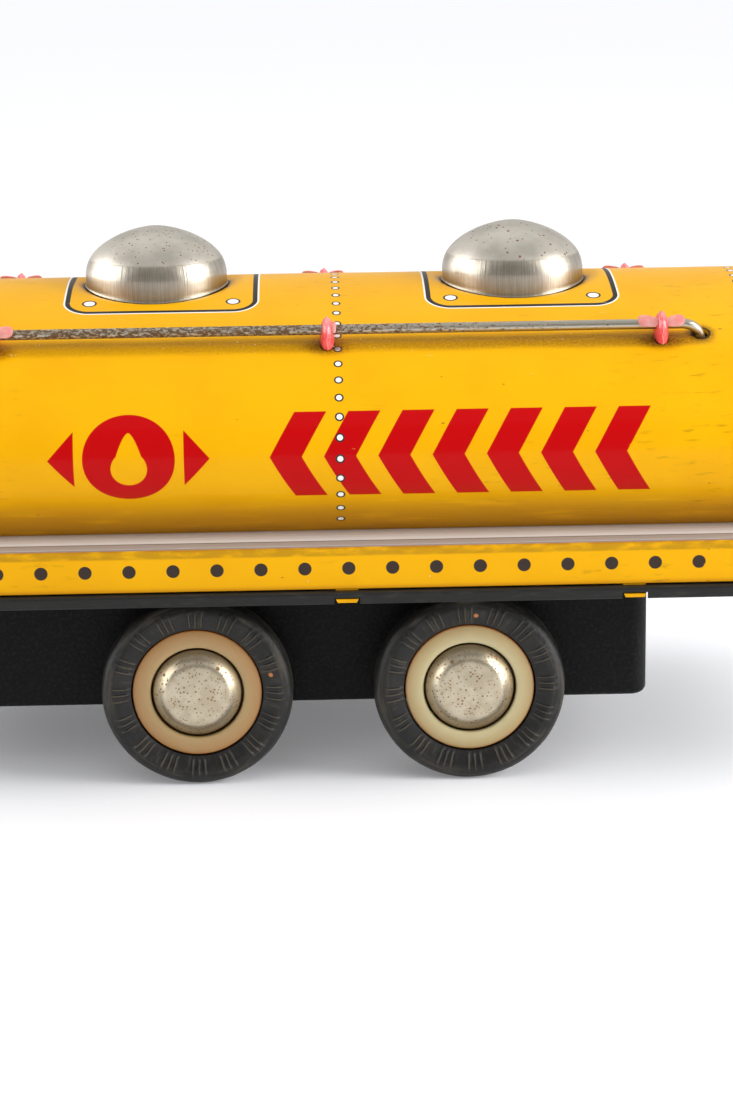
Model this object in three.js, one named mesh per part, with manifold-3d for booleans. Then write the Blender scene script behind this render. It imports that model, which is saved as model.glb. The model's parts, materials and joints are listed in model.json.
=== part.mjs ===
// Toy oil-tank wagon in pressed tin: a yellow oval tank on a skirted tray, nickel filler domes,
// wire handrails held by plastic clips, two rubber-tyred wheelsets in a black sheet undercarriage,
// and a swinging drawbar. Millimetres, +Z up, +X towards the rear, the left side faces -Y.
// The origin is on the ground under the middle of the whole wagon's box.

import * as THREE from 'three';
import { mergeVertices } from 'three/addons/utils/BufferGeometryUtils.js';
import Module from 'manifold-3d';

const wasm = await Module();
wasm.setup();

// ---------------------------------------------------------------- driving dimensions

const GAP = 0.3;                    // left between pieces that touch on the real toy
const SHEET = 0.8;                  // thickness of the pressed tin pieces

// tank section: a rounded lens, |y / halfWidth|^power + |z / halfHeight|^power = 1
const TANK = { halfLength: 88, halfWidth: 48, halfHeight: 28, power: 1.8, centreZ: 67 };
const TANK_SEGMENTS = 44;
const CAP_SEGMENTS = 24;

const WHEEL_RADIUS = 19;            // tyre, outside
const TYRE_WIDTH = 8;
const TYRE_FACE_Y = 44.8;           // outer side of the tyre, from the middle of the wagon
const TYRE_BORE = 13.1;
const WHEELBASE = 54;
const WHEELBASE_MIDDLE_X = -2;      // the axles sit a little ahead of the tank's middle
const AXLE_RADIUS = 1.5;

const TRAY = { halfLength: 95, halfWidth: 48, corner: 9, bottomZ: 40.9, topZ: 49.7 };
const PLATE = { halfLength: 96.4, halfWidth: 49.4, corner: 10.4, bottomZ: 38.2, topZ: 40.6 };
const BOX = { frontX: -84, rearX: 61.6, halfWidth: 33, corner: 3.5, bottomZ: 13.3 };

const DOME = { radius: 14.5, spacing: 73.4, shoulderZ: 96.5, topZ: 106, fullness: 1.25, steps: 6 };

const RAIL = { radius: 1, footY: 30.8, height: 2.5, frontX: -75.6, rearX: 71.6, bend: 4, endZ: 81.5 };
const CLIP_SPACING = 65.7;
const CLIP = { halfWidth: 1.6, halfReach: 3.5, height: 4.9, stemRadius: 1.1, stemDepth: 2.6 };
const WING = { reach: 4.7, halfHeight: 1.15, thickness: 0.6, stub: 2.6 };

const TAB = { xs: [0.9, 57], width: 4.4, thickness: 0.7 };
const LUG = { xs: [-60, 36], width: 6, height: 2.6 };

const DRAWBAR = { pivotX: -78, eyeX: -120, halfWidth: 4.5, eyeRadius: 5.8, eyeHole: 3.4, thickness: 1.1 };
const RIVET = { radius: 1.6, headRadius: 3.4, headHeight: 1 };

// ---------------------------------------------------------------- finishes

const finish = (color, roughness, metalness = 0) => ({ color, roughness, metalness });
const YELLOW_TIN = finish(0xf5b400, 0.3);
const BLACK_TIN = finish(0x202020, 0.55);
const NICKEL = finish(0xb9b2a6, 0.3, 1);
const RAIL_STEEL = finish(0x8d877c, 0.4, 1);
const AXLE_STEEL = finish(0x77736c, 0.35, 1);
const CORAL_PLASTIC = finish(0xf2585c, 0.35);
const CREAM_PLASTIC = finish(0xd9c69a, 0.4);
const RUBBER = finish(0x2b2824, 0.75);

// ---------------------------------------------------------------- solids and booleans

// turns the faces outwards if they were wound the other way
function facingOut(geometry) {
  const { array } = geometry.attributes.position;
  const index = geometry.index.array;
  const corner = (k) => new THREE.Vector3().fromArray(array, index[k] * 3);
  let volume = 0;
  for (let k = 0; k < index.length; k += 3) {
    volume += corner(k).dot(corner(k + 1).cross(corner(k + 2)));
  }
  if (volume < 0) index.reverse();
  return geometry;
}

function welded(geometry) {
  const bare = geometry.clone();
  bare.deleteAttribute('normal');
  bare.deleteAttribute('uv');
  return facingOut(mergeVertices(bare, 1e-4));
}

function toSolid(geometry) {
  const bare = welded(geometry);
  return new wasm.Manifold(new wasm.Mesh({
    numProp: 3,
    vertProperties: Float32Array.from(bare.attributes.position.array),
    triVerts: Uint32Array.from(bare.index.array),
  }));
}

function toGeometry(solid) {
  const mesh = solid.getMesh();
  const geometry = new THREE.BufferGeometry();
  geometry.setAttribute('position', new THREE.BufferAttribute(mesh.vertProperties, 3));
  geometry.setIndex(new THREE.BufferAttribute(mesh.triVerts, 1));
  return geometry;
}

function without(geometry, cutters) {
  let solid = toSolid(geometry);
  for (const cutter of cutters) solid = solid.subtract(toSolid(cutter));
  return toGeometry(solid);
}

function joined(geometry, additions) {
  let solid = toSolid(geometry);
  for (const addition of additions) solid = solid.add(toSolid(addition));
  return toGeometry(solid);
}

// a box given by its low and high corners
function block(low, high) {
  const size = high.map((value, axis) => value - low[axis]);
  const centre = high.map((value, axis) => (value + low[axis]) / 2);
  return new THREE.BoxGeometry(...size).translate(...centre);
}

function pegAlongZ(x, y, radius, bottomZ, topZ, sides = 16) {
  return new THREE.CylinderGeometry(radius, radius, topZ - bottomZ, sides)
    .rotateX(Math.PI / 2)
    .translate(x, y, (bottomZ + topZ) / 2);
}

function pegAlongY(x, z, radius, length, sides = 20) {
  return new THREE.CylinderGeometry(radius, radius, length, sides).translate(x, 0, z);
}

// skin over rings of equal point count, closed at each end by a fan to the ring's middle
function skinned(rings) {
  const count = rings[0].length;
  const points = rings.flat();
  const faces = [];
  for (let ring = 0; ring < rings.length - 1; ring += 1) {
    for (let k = 0; k < count; k += 1) {
      const a = ring * count + k;
      const b = ring * count + (k + 1) % count;
      faces.push(a, b, b + count, a, b + count, a + count);
    }
  }
  const fan = (ring, start, flipped) => {
    const middle = ring.reduce((sum, p) => sum.add(p), new THREE.Vector3()).divideScalar(count);
    const centre = points.push(middle) - 1;
    for (let k = 0; k < count; k += 1) {
      const next = start + (k + 1) % count;
      faces.push(...(flipped ? [centre, start + k, next] : [centre, next, start + k]));
    }
  };
  fan(rings[0], 0, false);
  fan(rings[rings.length - 1], (rings.length - 1) * count, true);
  const geometry = new THREE.BufferGeometry().setFromPoints(points);
  geometry.setIndex(faces);
  return facingOut(geometry);
}

// shape turned about Y: each profile point is [radius, distance along the axis]
function turned(profile, segments) {
  return new THREE.LatheGeometry(profile.map(([r, y]) => new THREE.Vector2(r, y)), segments);
}

// ---------------------------------------------------------------- outlines

const signedPower = (value, power) => Math.sign(value) * Math.abs(value) ** power;

// point of the tank's section, angle measured from the top
function ovalPoint(angle, inset = 0) {
  const y = (TANK.halfWidth - inset) * signedPower(Math.sin(angle), 2 / TANK.power);
  const z = (TANK.halfHeight - inset) * signedPower(Math.cos(angle), 2 / TANK.power);
  return new THREE.Vector2(y, TANK.centreZ + z);
}

function tankTopZ(y) {
  const across = Math.abs(y / TANK.halfWidth) ** TANK.power;
  return TANK.centreZ + TANK.halfHeight * (1 - across) ** (1 / TANK.power);
}

// the section stops where it meets the tray
const CREASE_Z = TRAY.topZ + GAP;
const CREASE_ANGLE = Math.acos(-(((TANK.centreZ - CREASE_Z) / TANK.halfHeight) ** (TANK.power / 2)));

function ovalArc(inset, segments = TANK_SEGMENTS) {
  return Array.from({ length: segments + 1 }, (_, k) => ovalPoint(CREASE_ANGLE * (2 * k / segments - 1), inset));
}

// rounded rectangle in plan, as a ring of points
function plan({ frontX, rearX, halfWidth, corner }, inset, z, arcSteps = 4) {
  const radius = Math.max(corner - inset, 0.4);
  const ring = [];
  const corners = [[rearX, 1, 0], [frontX, 1, 1], [frontX, -1, 2], [rearX, -1, 3]];
  for (const [endX, side, quarter] of corners) {
    const towardsMiddle = endX === rearX ? -1 : 1;
    const cx = endX + towardsMiddle * (inset + radius);
    const cy = side * (halfWidth - inset - radius);
    for (let k = 0; k <= arcSteps; k += 1) {
      const angle = (quarter + k / arcSteps) * Math.PI / 2;
      ring.push(new THREE.Vector3(cx + radius * Math.cos(angle), cy + radius * Math.sin(angle), z));
    }
  }
  return ring;
}

const centred = (shape) => ({ ...shape, frontX: -shape.halfLength, rearX: shape.halfLength });

// ---------------------------------------------------------------- tank

// section drawn in (y, z), carried along x over the tank's length
function alongTank(outline) {
  const length = 2 * TANK.halfLength;
  const solid = new THREE.ExtrudeGeometry(new THREE.Shape(outline), { depth: length, bevelEnabled: false });
  const turn = new THREE.Matrix4().set(0, 0, 1, 0, 1, 0, 0, 0, 0, 1, 0, 0, 0, 0, 0, 1);
  return solid.applyMatrix4(turn).translate(-TANK.halfLength, 0, 0);
}

function tankShell(holes) {
  return without(alongTank([...ovalArc(0), ...ovalArc(SHEET).reverse()]), holes);
}

// pressed end: a rolled bead at the rim, a narrow flat and a shallow dished crown
function endCap(side) {
  const rim = TANK.halfLength + GAP;
  // [distance past the rim, scale of the section, inset], from the rim to the crown
  const outside = [
    [0, 1, 0], [0.3, 1, -0.7], [1.5, 1, -0.7], [1.9, 1, 0.2], [1.9, 1, 2.2],
    [3, 0.88, 2.2], [4.6, 0.68, 2], [5.8, 0.4, 1.5], [6.2, 0.12, 0.5],
  ];
  // the inner face follows from the crown back to the rim
  const inside = outside.slice(4).reverse().map(([past, scale, inset]) => [past - SHEET, scale, inset]);
  inside.push([0, 1, 2.2]);
  const ring = ([past, scale, inset]) => ovalArc(inset, CAP_SEGMENTS).map((p) => new THREE.Vector3(
    side * (rim + past),
    p.x * scale,
    Math.max(TANK.centreZ + (p.y - TANK.centreZ) * scale, CREASE_Z),
  ));
  return skinned([...inside, ...outside].map(ring));
}

// nickel cap over a filler opening: an upright band under a rounded crown, cut to sit on the tank
function fillerDome(x) {
  const { radius, shoulderZ, topZ, fullness, steps } = DOME;
  const crown = (inset) => Array.from({ length: steps }, (_, k) => {
    const angle = (1 - (k + 1) / steps) * Math.PI / 2;
    return [(radius - inset) * Math.cos(angle) ** fullness, shoulderZ + (topZ - shoulderZ - inset) * Math.sin(angle)];
  });
  const skirtZ = tankTopZ(radius) - 1;
  const profile = [
    [0, topZ], ...crown(0), [radius, skirtZ],
    [radius - SHEET, skirtZ], ...crown(SHEET).reverse(), [0, topZ - SHEET],
  ];
  const dome = turned(profile, 24).rotateX(Math.PI / 2).translate(x, 0, 0);
  // the tank's whole section, grown by the gap
  return without(dome, [alongTank(ovalArc(-GAP))]);
}

// ---------------------------------------------------------------- handrails and their clips

// foot of the rail on the tank, with the outward direction there, on the +Y side
function railFoot() {
  const y = RAIL.footY;
  const z = tankTopZ(y);
  const slope = (distance, half) => (distance / half) ** (TANK.power - 1) / half;
  const normal = new THREE.Vector2(slope(y, TANK.halfWidth), slope(z - TANK.centreZ, TANK.halfHeight));
  return { point: new THREE.Vector2(y, z), normal: normal.normalize() };
}

const FOOT = railFoot();
const RAIL_Y = FOOT.point.x + FOOT.normal.x * RAIL.height;
const RAIL_Z = FOOT.point.y + FOOT.normal.y * RAIL.height;

// straight runs and bends in turn, each given the same number of steps
class RailPath extends THREE.Curve {
  constructor(pieces) {
    super();
    this.pieces = pieces;
  }

  getPoint(t) {
    const place = t * this.pieces.length;
    const piece = Math.min(Math.floor(place), this.pieces.length - 1);
    return this.pieces[piece].getPoint(place - piece);
  }

  getUtoTmapping(u) {
    return u;
  }
}

function handrail(side) {
  const at = (x, z) => new THREE.Vector3(x, side * RAIL_Y, z);
  const { frontX, rearX, bend, endZ, radius } = RAIL;
  const path = new RailPath([
    new THREE.LineCurve3(at(frontX, endZ), at(frontX, RAIL_Z - bend)),
    new THREE.QuadraticBezierCurve3(at(frontX, RAIL_Z - bend), at(frontX, RAIL_Z), at(frontX + bend, RAIL_Z)),
    new THREE.LineCurve3(at(frontX + bend, RAIL_Z), at(rearX - bend, RAIL_Z)),
    new THREE.QuadraticBezierCurve3(at(rearX - bend, RAIL_Z), at(rearX, RAIL_Z), at(rearX, RAIL_Z - bend)),
    new THREE.LineCurve3(at(rearX, RAIL_Z - bend), at(rearX, endZ)),
  ]);
  const section = new THREE.Shape(new THREE.Path().absarc(0, 0, radius, 0, 2 * Math.PI).getPoints(8).slice(0, -1));
  return new THREE.ExtrudeGeometry(section, { steps: 15, extrudePath: path, bevelEnabled: false });
}

// places a shape made with z out of the tank and x along it onto the rail's foot
function ontoFoot(geometry, x, side) {
  const { point, normal } = FOOT;
  const out = new THREE.Vector3(0, side * normal.x, normal.y);
  const along = new THREE.Vector3(1, 0, 0);
  const across = new THREE.Vector3().crossVectors(out, along);
  const place = new THREE.Matrix4().makeBasis(along, across, out);
  return geometry.applyMatrix4(place).translate(x, side * point.x, point.y);
}

function leaf(reach) {
  const outline = new THREE.Path().absellipse(0, 0, reach, WING.halfHeight, 0, 2 * Math.PI).getPoints(5);
  return new THREE.ExtrudeGeometry(new THREE.Shape(outline.slice(0, -1)), {
    depth: WING.thickness,
    bevelEnabled: false,
  });
}

// an almond-shaped plastic bridge over the rail with a stem through the tank's wall and a thin wing each way
function railClip(x, side, wingReach) {
  const body = new THREE.SphereGeometry(1, 12, 8).scale(CLIP.halfWidth, CLIP.halfReach, CLIP.height);
  const below = block([-3, -5, -6], [3, 5, GAP]);
  const tunnel = new THREE.CylinderGeometry(RAIL.radius + GAP, RAIL.radius + GAP, 8, 8)
    .rotateZ(Math.PI / 2)
    .translate(0, 0, RAIL.height);
  const stem = pegAlongZ(0, 0, CLIP.stemRadius, -CLIP.stemDepth, GAP + 0.5, 8);
  const wing = leaf(wingReach).translate(0, 0, RAIL.height + RAIL.radius + GAP);
  const bridge = without(body, [below, tunnel]);
  return ontoFoot(joined(bridge, [stem, wing]), x, side);
}

function clipHole(x, side) {
  return ontoFoot(pegAlongZ(0, 0, CLIP.stemRadius + GAP, -4, 2, 12), x, side);
}

function railHole(x, side) {
  return pegAlongZ(x, side * RAIL_Y, RAIL.radius + 0.5, RAIL.endZ, RAIL_Z, 12);
}

// ---------------------------------------------------------------- tray, base plate and undercarriage

// inverted tray: printed ledge on top, deep skirt, folded tabs that hold the base plate
function skirtTray() {
  const shape = centred(TRAY);
  const { bottomZ, topZ } = TRAY;
  const rings = [
    plan(shape, SHEET, bottomZ), plan(shape, 0, bottomZ), plan(shape, 0, topZ - 0.7),
    plan(shape, 0.3, topZ - 0.2), plan(shape, 1, topZ),
  ];
  const underside = [plan(shape, SHEET + 0.8, topZ - SHEET), plan(shape, SHEET, topZ - SHEET - 0.7)];
  const shell = skinned([...underside, ...rings]);
  const tabs = [-1, 1].flatMap((side) => TAB.xs.flatMap((x) => foldedTab(x, side)));
  return joined(shell, tabs);
}

// leg down through the base plate's slot, then a foot turned outwards in the notch of its lip
function foldedTab(x, side) {
  const half = TAB.width / 2;
  const footTop = PLATE.bottomZ + GAP + TAB.thickness;
  const inner = TRAY.halfWidth - TAB.thickness;
  const along = (near, far) => (side > 0 ? [near, far] : [-far, -near]);
  const [legLow, legHigh] = along(inner, TRAY.halfWidth);
  const [footLow, footHigh] = along(inner, PLATE.halfWidth - 0.1);
  return [
    block([x - half, legLow, footTop - TAB.thickness], [x + half, legHigh, TRAY.bottomZ + 0.5]),
    block([x - half, footLow, footTop - TAB.thickness], [x + half, footHigh, footTop]),
  ];
}

function tabOpenings(x, side) {
  const half = TAB.width / 2 + GAP;
  const along = (near, far) => (side > 0 ? [near, far] : [-far, -near]);
  const [slotLow, slotHigh] = along(TRAY.halfWidth - TAB.thickness - GAP, TRAY.halfWidth + GAP);
  const [notchLow, notchHigh] = along(TRAY.halfWidth, PLATE.halfWidth + 1);
  const notchTop = PLATE.bottomZ + 2 * GAP + TAB.thickness;
  return [
    block([x - half, slotLow, PLATE.bottomZ - 1], [x + half, slotHigh, PLATE.topZ + 1]),
    block([x - half, notchLow, PLATE.bottomZ - 1], [x + half, notchHigh, notchTop]),
  ];
}

// black plate under the tray, its edge turned down as a lip
function basePlate() {
  const shape = centred(PLATE);
  const { bottomZ, topZ } = PLATE;
  const underside = [plan(shape, SHEET, topZ - SHEET), plan(shape, SHEET, bottomZ)];
  const rings = [plan(shape, 0.2, bottomZ), plan(shape, 0, bottomZ + 0.3), plan(shape, 0, topZ - 0.5),
    plan(shape, 0.5, topZ)];
  const plate = skinned([...underside, ...rings]);
  const sides = [-1, 1];
  const tabCuts = sides.flatMap((side) => TAB.xs.flatMap((x) => tabOpenings(x, side)));
  const lugCuts = sides.flatMap((side) => LUG.xs.map((x) => lug(x, side, GAP)));
  return without(plate, [...tabCuts, ...lugCuts]);
}

const BOX_TOP_Z = PLATE.topZ - SHEET - GAP;

function lug(x, side, clearance) {
  const half = LUG.width / 2 + clearance;
  const near = BOX.halfWidth - SHEET - clearance;
  const far = BOX.halfWidth + clearance;
  const [low, high] = side > 0 ? [near, far] : [-far, -near];
  const bottom = BOX_TOP_Z - 0.5;
  return block([x - half, low, bottom], [x + half, high, BOX_TOP_Z + LUG.height + clearance]);
}

// open-topped trough that carries the axles, hung from the base plate by lugs
function undercarriage() {
  const { bottomZ } = BOX;
  const inside = [plan(BOX, SHEET + 1, bottomZ + SHEET), plan(BOX, SHEET, bottomZ + SHEET + 1),
    plan(BOX, SHEET, BOX_TOP_Z)];
  const outside = [plan(BOX, 0, BOX_TOP_Z), plan(BOX, 0, bottomZ + 1.2), plan(BOX, 0.35, bottomZ + 0.35),
    plan(BOX, 1.2, bottomZ)];
  const trough = skinned([...inside, ...outside]);
  const lugs = [-1, 1].flatMap((side) => LUG.xs.map((x) => lug(x, side, 0)));
  const axleHoles = AXLE_XS.map((x) => pegAlongY(x, WHEEL_RADIUS, AXLE_RADIUS + GAP, 2 * BOX.halfWidth + 4));
  const rivetHole = pegAlongZ(DRAWBAR.pivotX, 0, RIVET.radius + GAP, bottomZ - 1, bottomZ + SHEET + 1);
  return without(joined(trough, lugs), [...axleHoles, rivetHole]);
}

// ---------------------------------------------------------------- wheelsets

const AXLE_XS = [-1, 1].map((end) => WHEELBASE_MIDDLE_X + end * WHEELBASE / 2);
const AXLE_HALF_LENGTH = TYRE_FACE_Y - 1;

function axle(x) {
  return pegAlongY(x, WHEEL_RADIUS, AXLE_RADIUS, 2 * AXLE_HALF_LENGTH);
}

// balloon tyre: a sloping side wall inside a raised ridge, and a round tread
function tyre() {
  const half = TYRE_WIDTH / 2;
  const outerSide = [[TYRE_BORE, -1.1], [TYRE_BORE + 1.4, -0.5], [16.1, 0], [17.5, -0.8], [18.6, -2.4]];
  const innerSide = outerSide.map(([r, y]) => [r, -TYRE_WIDTH - y]).reverse();
  const profile = [...outerSide, [WHEEL_RADIUS, -half], ...innerSide, outerSide[0]];
  return turned(profile, 28);
}

// moulded disc with a hub on the inside and a round recess for the cap
function wheelDisc() {
  const edge = TYRE_BORE - GAP;
  const bore = AXLE_RADIUS + GAP;
  const hubEnd = BOX.halfWidth + 2 * GAP - TYRE_FACE_Y;
  const profile = [
    [bore, hubEnd], [3.6, hubEnd], [3.6, -6.6], [edge, -6.6], [edge, -1.3], [9.5, -1], [9.2, -1.4], [9.2, -4.2],
    [bore, -4.2], [bore, hubEnd],
  ];
  return turned(profile, 24);
}

// sloping rim and raised middle, pressed from thin sheet
function hubcap() {
  const outside = [[0, 0.7], [3.5, 0.5], [5.9, 0], [7.4, -1.1], [8.7, -1.6]];
  const inside = [[8.7, -2.2], [7.1, -1.7], [5.5, -0.7], [3.3, -0.1], [0, 0.1]];
  return turned([...outside, ...inside], 20);
}

// ---------------------------------------------------------------- drawbar

const DRAWBAR_TOP_Z = BOX.bottomZ - GAP;

// flat tin strip with rounded ends, a rivet hole at the wagon and a coupling eye at the tip
function drawbar() {
  const { pivotX, eyeX, halfWidth, eyeRadius, eyeHole, thickness } = DRAWBAR;
  const shoulder = Math.asin(halfWidth / eyeRadius);
  const outline = new THREE.Shape();
  outline.absarc(pivotX, 0, halfWidth, -Math.PI / 2, Math.PI / 2, false);
  outline.absarc(eyeX, 0, eyeRadius, shoulder, 2 * Math.PI - shoulder, false);
  outline.holes.push(
    new THREE.Path().absarc(pivotX, 0, RIVET.radius + GAP, 0, 2 * Math.PI, true),
    new THREE.Path().absarc(eyeX, 0, eyeHole, 0, 2 * Math.PI, true),
  );
  const strip = new THREE.ExtrudeGeometry(outline, { depth: thickness, bevelEnabled: false, curveSegments: 14 });
  return strip.translate(0, 0, DRAWBAR_TOP_Z - thickness);
}

// headed pin that holds the drawbar under the undercarriage and lets it swing
function drawbarRivet() {
  const { radius, headRadius, headHeight } = RIVET;
  const lowerFace = DRAWBAR_TOP_Z - DRAWBAR.thickness - GAP;
  const upperFace = BOX.bottomZ + SHEET + GAP;
  const profile = [
    [0, lowerFace - headHeight], [headRadius * 0.6, lowerFace - headHeight * 0.85],
    [headRadius, lowerFace - headHeight * 0.3], [headRadius, lowerFace], [radius, lowerFace],
    [radius, upperFace], [headRadius * 0.85, upperFace], [headRadius * 0.85, upperFace + headHeight * 0.5],
    [headRadius * 0.5, upperFace + headHeight], [0, upperFace + headHeight],
  ];
  return turned(profile, 20).rotateX(Math.PI / 2).translate(DRAWBAR.pivotX, 0, 0);
}

// ---------------------------------------------------------------- assembly

const wagon = new THREE.Group();

function add(name, geometry, look) {
  const mesh = new THREE.Mesh(welded(geometry), new THREE.MeshStandardMaterial(look));
  mesh.name = name;
  wagon.add(mesh);
  return mesh;
}

const SIDES = [['left', -1], ['right', 1]];
const CLIP_XS = [['front', -CLIP_SPACING], ['middle', 0], ['rear', CLIP_SPACING]]
  .map(([place, x]) => [place, WHEELBASE_MIDDLE_X + x]);

const tankHoles = SIDES.flatMap(([, side]) => [
  ...CLIP_XS.map(([, x]) => clipHole(x, side)),
  railHole(RAIL.frontX, side),
  railHole(RAIL.rearX, side),
]);

add('tank_shell', tankShell(tankHoles), YELLOW_TIN);
add('front_end_cap', endCap(-1), YELLOW_TIN);
add('rear_end_cap', endCap(1), YELLOW_TIN);
add('front_filler_dome', fillerDome(-DOME.spacing / 2), NICKEL);
add('rear_filler_dome', fillerDome(DOME.spacing / 2), NICKEL);

for (const [sideName, side] of SIDES) {
  add(`${sideName}_handrail`, handrail(side), RAIL_STEEL);
  for (const [place, x] of CLIP_XS) {
    const isBroken = sideName === 'left' && place === 'middle';
    const wingReach = isBroken ? WING.stub : WING.reach;
    add(`${sideName}_${place}_rail_clip`, railClip(x, side, wingReach), CORAL_PLASTIC);
  }
}

add('skirt_tray', skirtTray(), YELLOW_TIN);
add('base_plate', basePlate(), BLACK_TIN);
add('undercarriage', undercarriage(), BLACK_TIN);

for (const [end, x] of [['front', AXLE_XS[0]], ['rear', AXLE_XS[1]]]) {
  add(`${end}_axle`, axle(x), AXLE_STEEL);
  for (const [sideName, side] of SIDES) {
    const pieces = [['tyre', tyre(), RUBBER], ['wheel_disc', wheelDisc(), CREAM_PLASTIC], ['hubcap', hubcap(), NICKEL]];
    for (const [piece, geometry, look] of pieces) {
      const mesh = add(`${sideName}_${end}_${piece}`, geometry, look);
      mesh.position.set(x, side * TYRE_FACE_Y, WHEEL_RADIUS);
      mesh.rotation.z = side > 0 ? 0 : Math.PI;
    }
  }
}

add('drawbar', drawbar(), BLACK_TIN);
add('drawbar_rivet', drawbarRivet(), AXLE_STEEL);

// the origin goes under the middle of the wagon's whole length
const foremostX = DRAWBAR.eyeX - DRAWBAR.eyeRadius;
wagon.position.x = -(foremostX + PLATE.halfLength) / 2;

export default wagon;
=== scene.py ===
"""The finished looks of a toy road tank wagon in lithographed tin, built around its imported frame.

Points and sizes are in millimetres until a mesh is made. +X points to the wagon's rear, +Z up,
and the left side, with the broken clip, faces -Y.
"""

import json
import math

import bmesh
import bpy
from mathutils import Matrix, Vector, noise


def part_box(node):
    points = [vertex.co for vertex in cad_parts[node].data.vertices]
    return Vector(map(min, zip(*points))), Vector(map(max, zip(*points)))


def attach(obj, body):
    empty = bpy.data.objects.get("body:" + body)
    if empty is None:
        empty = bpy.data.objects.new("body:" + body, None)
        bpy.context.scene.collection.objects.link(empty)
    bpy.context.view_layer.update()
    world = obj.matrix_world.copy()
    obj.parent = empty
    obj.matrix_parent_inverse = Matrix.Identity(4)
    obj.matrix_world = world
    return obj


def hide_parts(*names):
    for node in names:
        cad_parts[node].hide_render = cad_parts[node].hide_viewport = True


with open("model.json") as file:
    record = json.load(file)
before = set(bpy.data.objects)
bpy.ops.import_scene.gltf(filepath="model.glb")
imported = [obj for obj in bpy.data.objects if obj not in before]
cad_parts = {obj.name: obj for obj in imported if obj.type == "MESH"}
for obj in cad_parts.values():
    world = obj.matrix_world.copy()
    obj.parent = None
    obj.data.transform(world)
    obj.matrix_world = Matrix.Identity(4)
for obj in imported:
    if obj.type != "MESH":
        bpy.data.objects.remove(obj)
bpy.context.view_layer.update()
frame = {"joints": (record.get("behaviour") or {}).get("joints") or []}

MM = 0.001                      # metres in a millimetre
SIDES = {"left": -1, "right": 1}


def box_mm(node):
    """A node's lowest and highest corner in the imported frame."""
    low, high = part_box(node)
    return low / MM, high / MM


def middle_xs(names):
    """The middle of each named node along the wagon, by key."""
    return {key: sum(corner.x for corner in box_mm(node)) / 2 for key, node in names.items()}


def joint_mm(name):
    """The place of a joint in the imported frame."""
    found = next(joint for joint in frame["joints"] if joint["name"] == name)
    return Vector(found["pos_m"]) / MM


# ---------------------------------------------------------------- sizes, mostly from the frame

SHEET = 0.8                     # thickness of the pressed tin
GAP = 0.3                       # the frame's clearance between pieces

tank_low, tank_high = box_mm("tank_shell")
TANK_X = (tank_low.x + tank_high.x) / 2
TANK_HALF_LENGTH = (tank_high.x - tank_low.x) / 2
TANK_HALF_WIDTH = tank_high.y
TANK_HALF_HEIGHT = 28
TANK_POWER = 1.8
TANK_CENTRE_Z = tank_high.z - TANK_HALF_HEIGHT

plate_low, plate_high = box_mm("base_plate")
tray_low, tray_high = box_mm("skirt_tray")
TRAY_HALF_LENGTH = (tray_high.x - tray_low.x) / 2
TRAY_HALF_WIDTH = TANK_HALF_WIDTH
TRAY_BOTTOM_Z = plate_high.z + GAP
TRAY_CORNER = 9
PLATE_CORNER = 10.4

trough_low, trough_high = box_mm("undercarriage")
TROUGH_CORNER = 3.5
TROUGH_TOP_Z = plate_high.z - SHEET - GAP

ENDS = ("front", "rear")
DOME_XS = middle_xs({end: f"{end}_filler_dome" for end in ENDS})
dome_low, dome_high = box_mm("front_filler_dome")
DOME_RADIUS = (dome_high.x - dome_low.x) / 2
DOME_HALF_SPACING = (DOME_XS["rear"] - DOME_XS["front"]) / 2
DOME_SHOULDER_Z = 96.5
DOME_FULLNESS = 1.25
CREASE_SHARE = 0.32             # how far up the crown its slightly tapered foot ends
CREASE_TOP_Z = DOME_SHOULDER_Z + CREASE_SHARE * (dome_high.z - DOME_SHOULDER_Z)

rail_low, rail_high = box_mm("right_handrail")
RAIL_RADIUS = 1
RAIL_Y = rail_high.y - RAIL_RADIUS
RAIL_Z = rail_high.z - RAIL_RADIUS
RAIL_HEIGHT = 2.5               # rail's centre above the tank, along the tank's normal
RAIL_FRONT_X = rail_low.x + RAIL_RADIUS
RAIL_REAR_X = rail_high.x - RAIL_RADIUS
RAIL_BEND = 4
RAIL_FOOT_Y = 30.8

CLIP_XS = middle_xs({place: f"right_{place}_rail_clip" for place in ("front", "middle", "rear")})
CLIP_HALF_SIZE = Vector((1.6, 3.5, 4.9))
CLIP_STEM_RADIUS = 1.1

AXLE_XS = middle_xs({end: f"{end}_axle" for end in ENDS})
tyre_low, tyre_high = box_mm("right_front_tyre")
WHEEL_RADIUS = (tyre_high.z - tyre_low.z) / 2
TYRE_WIDTH = tyre_high.y - tyre_low.y
TYRE_FACE_Y = tyre_high.y
TYRE_BORE = 13.1
AXLE_RADIUS = 1.5

TAB_XS = [TANK_X + x for x in (0.9, 57)]
TAB_WIDTH = 4.4
TAB_THICKNESS = 0.7
TAB_TAPER = 0.35

pivot = joint_mm("drawbar_swing")
bar_low, bar_high = box_mm("drawbar")
DRAWBAR_HALF_WIDTH = 4.5
EYE_RADIUS = bar_high.y
EYE_HOLE = 3.4
EYE_X = bar_low.x + EYE_RADIUS
RIVET_RADIUS = 1.6
RIVET_HEAD = 3.4
CLINCHED_HEAD = RIVET_HEAD * 0.85


# ---------------------------------------------------------------- meshes

def add_object(name, data):
    """A new object in the scene around the given data."""
    obj = bpy.data.objects.new(name, data)
    bpy.context.scene.collection.objects.link(obj)
    return obj


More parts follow.
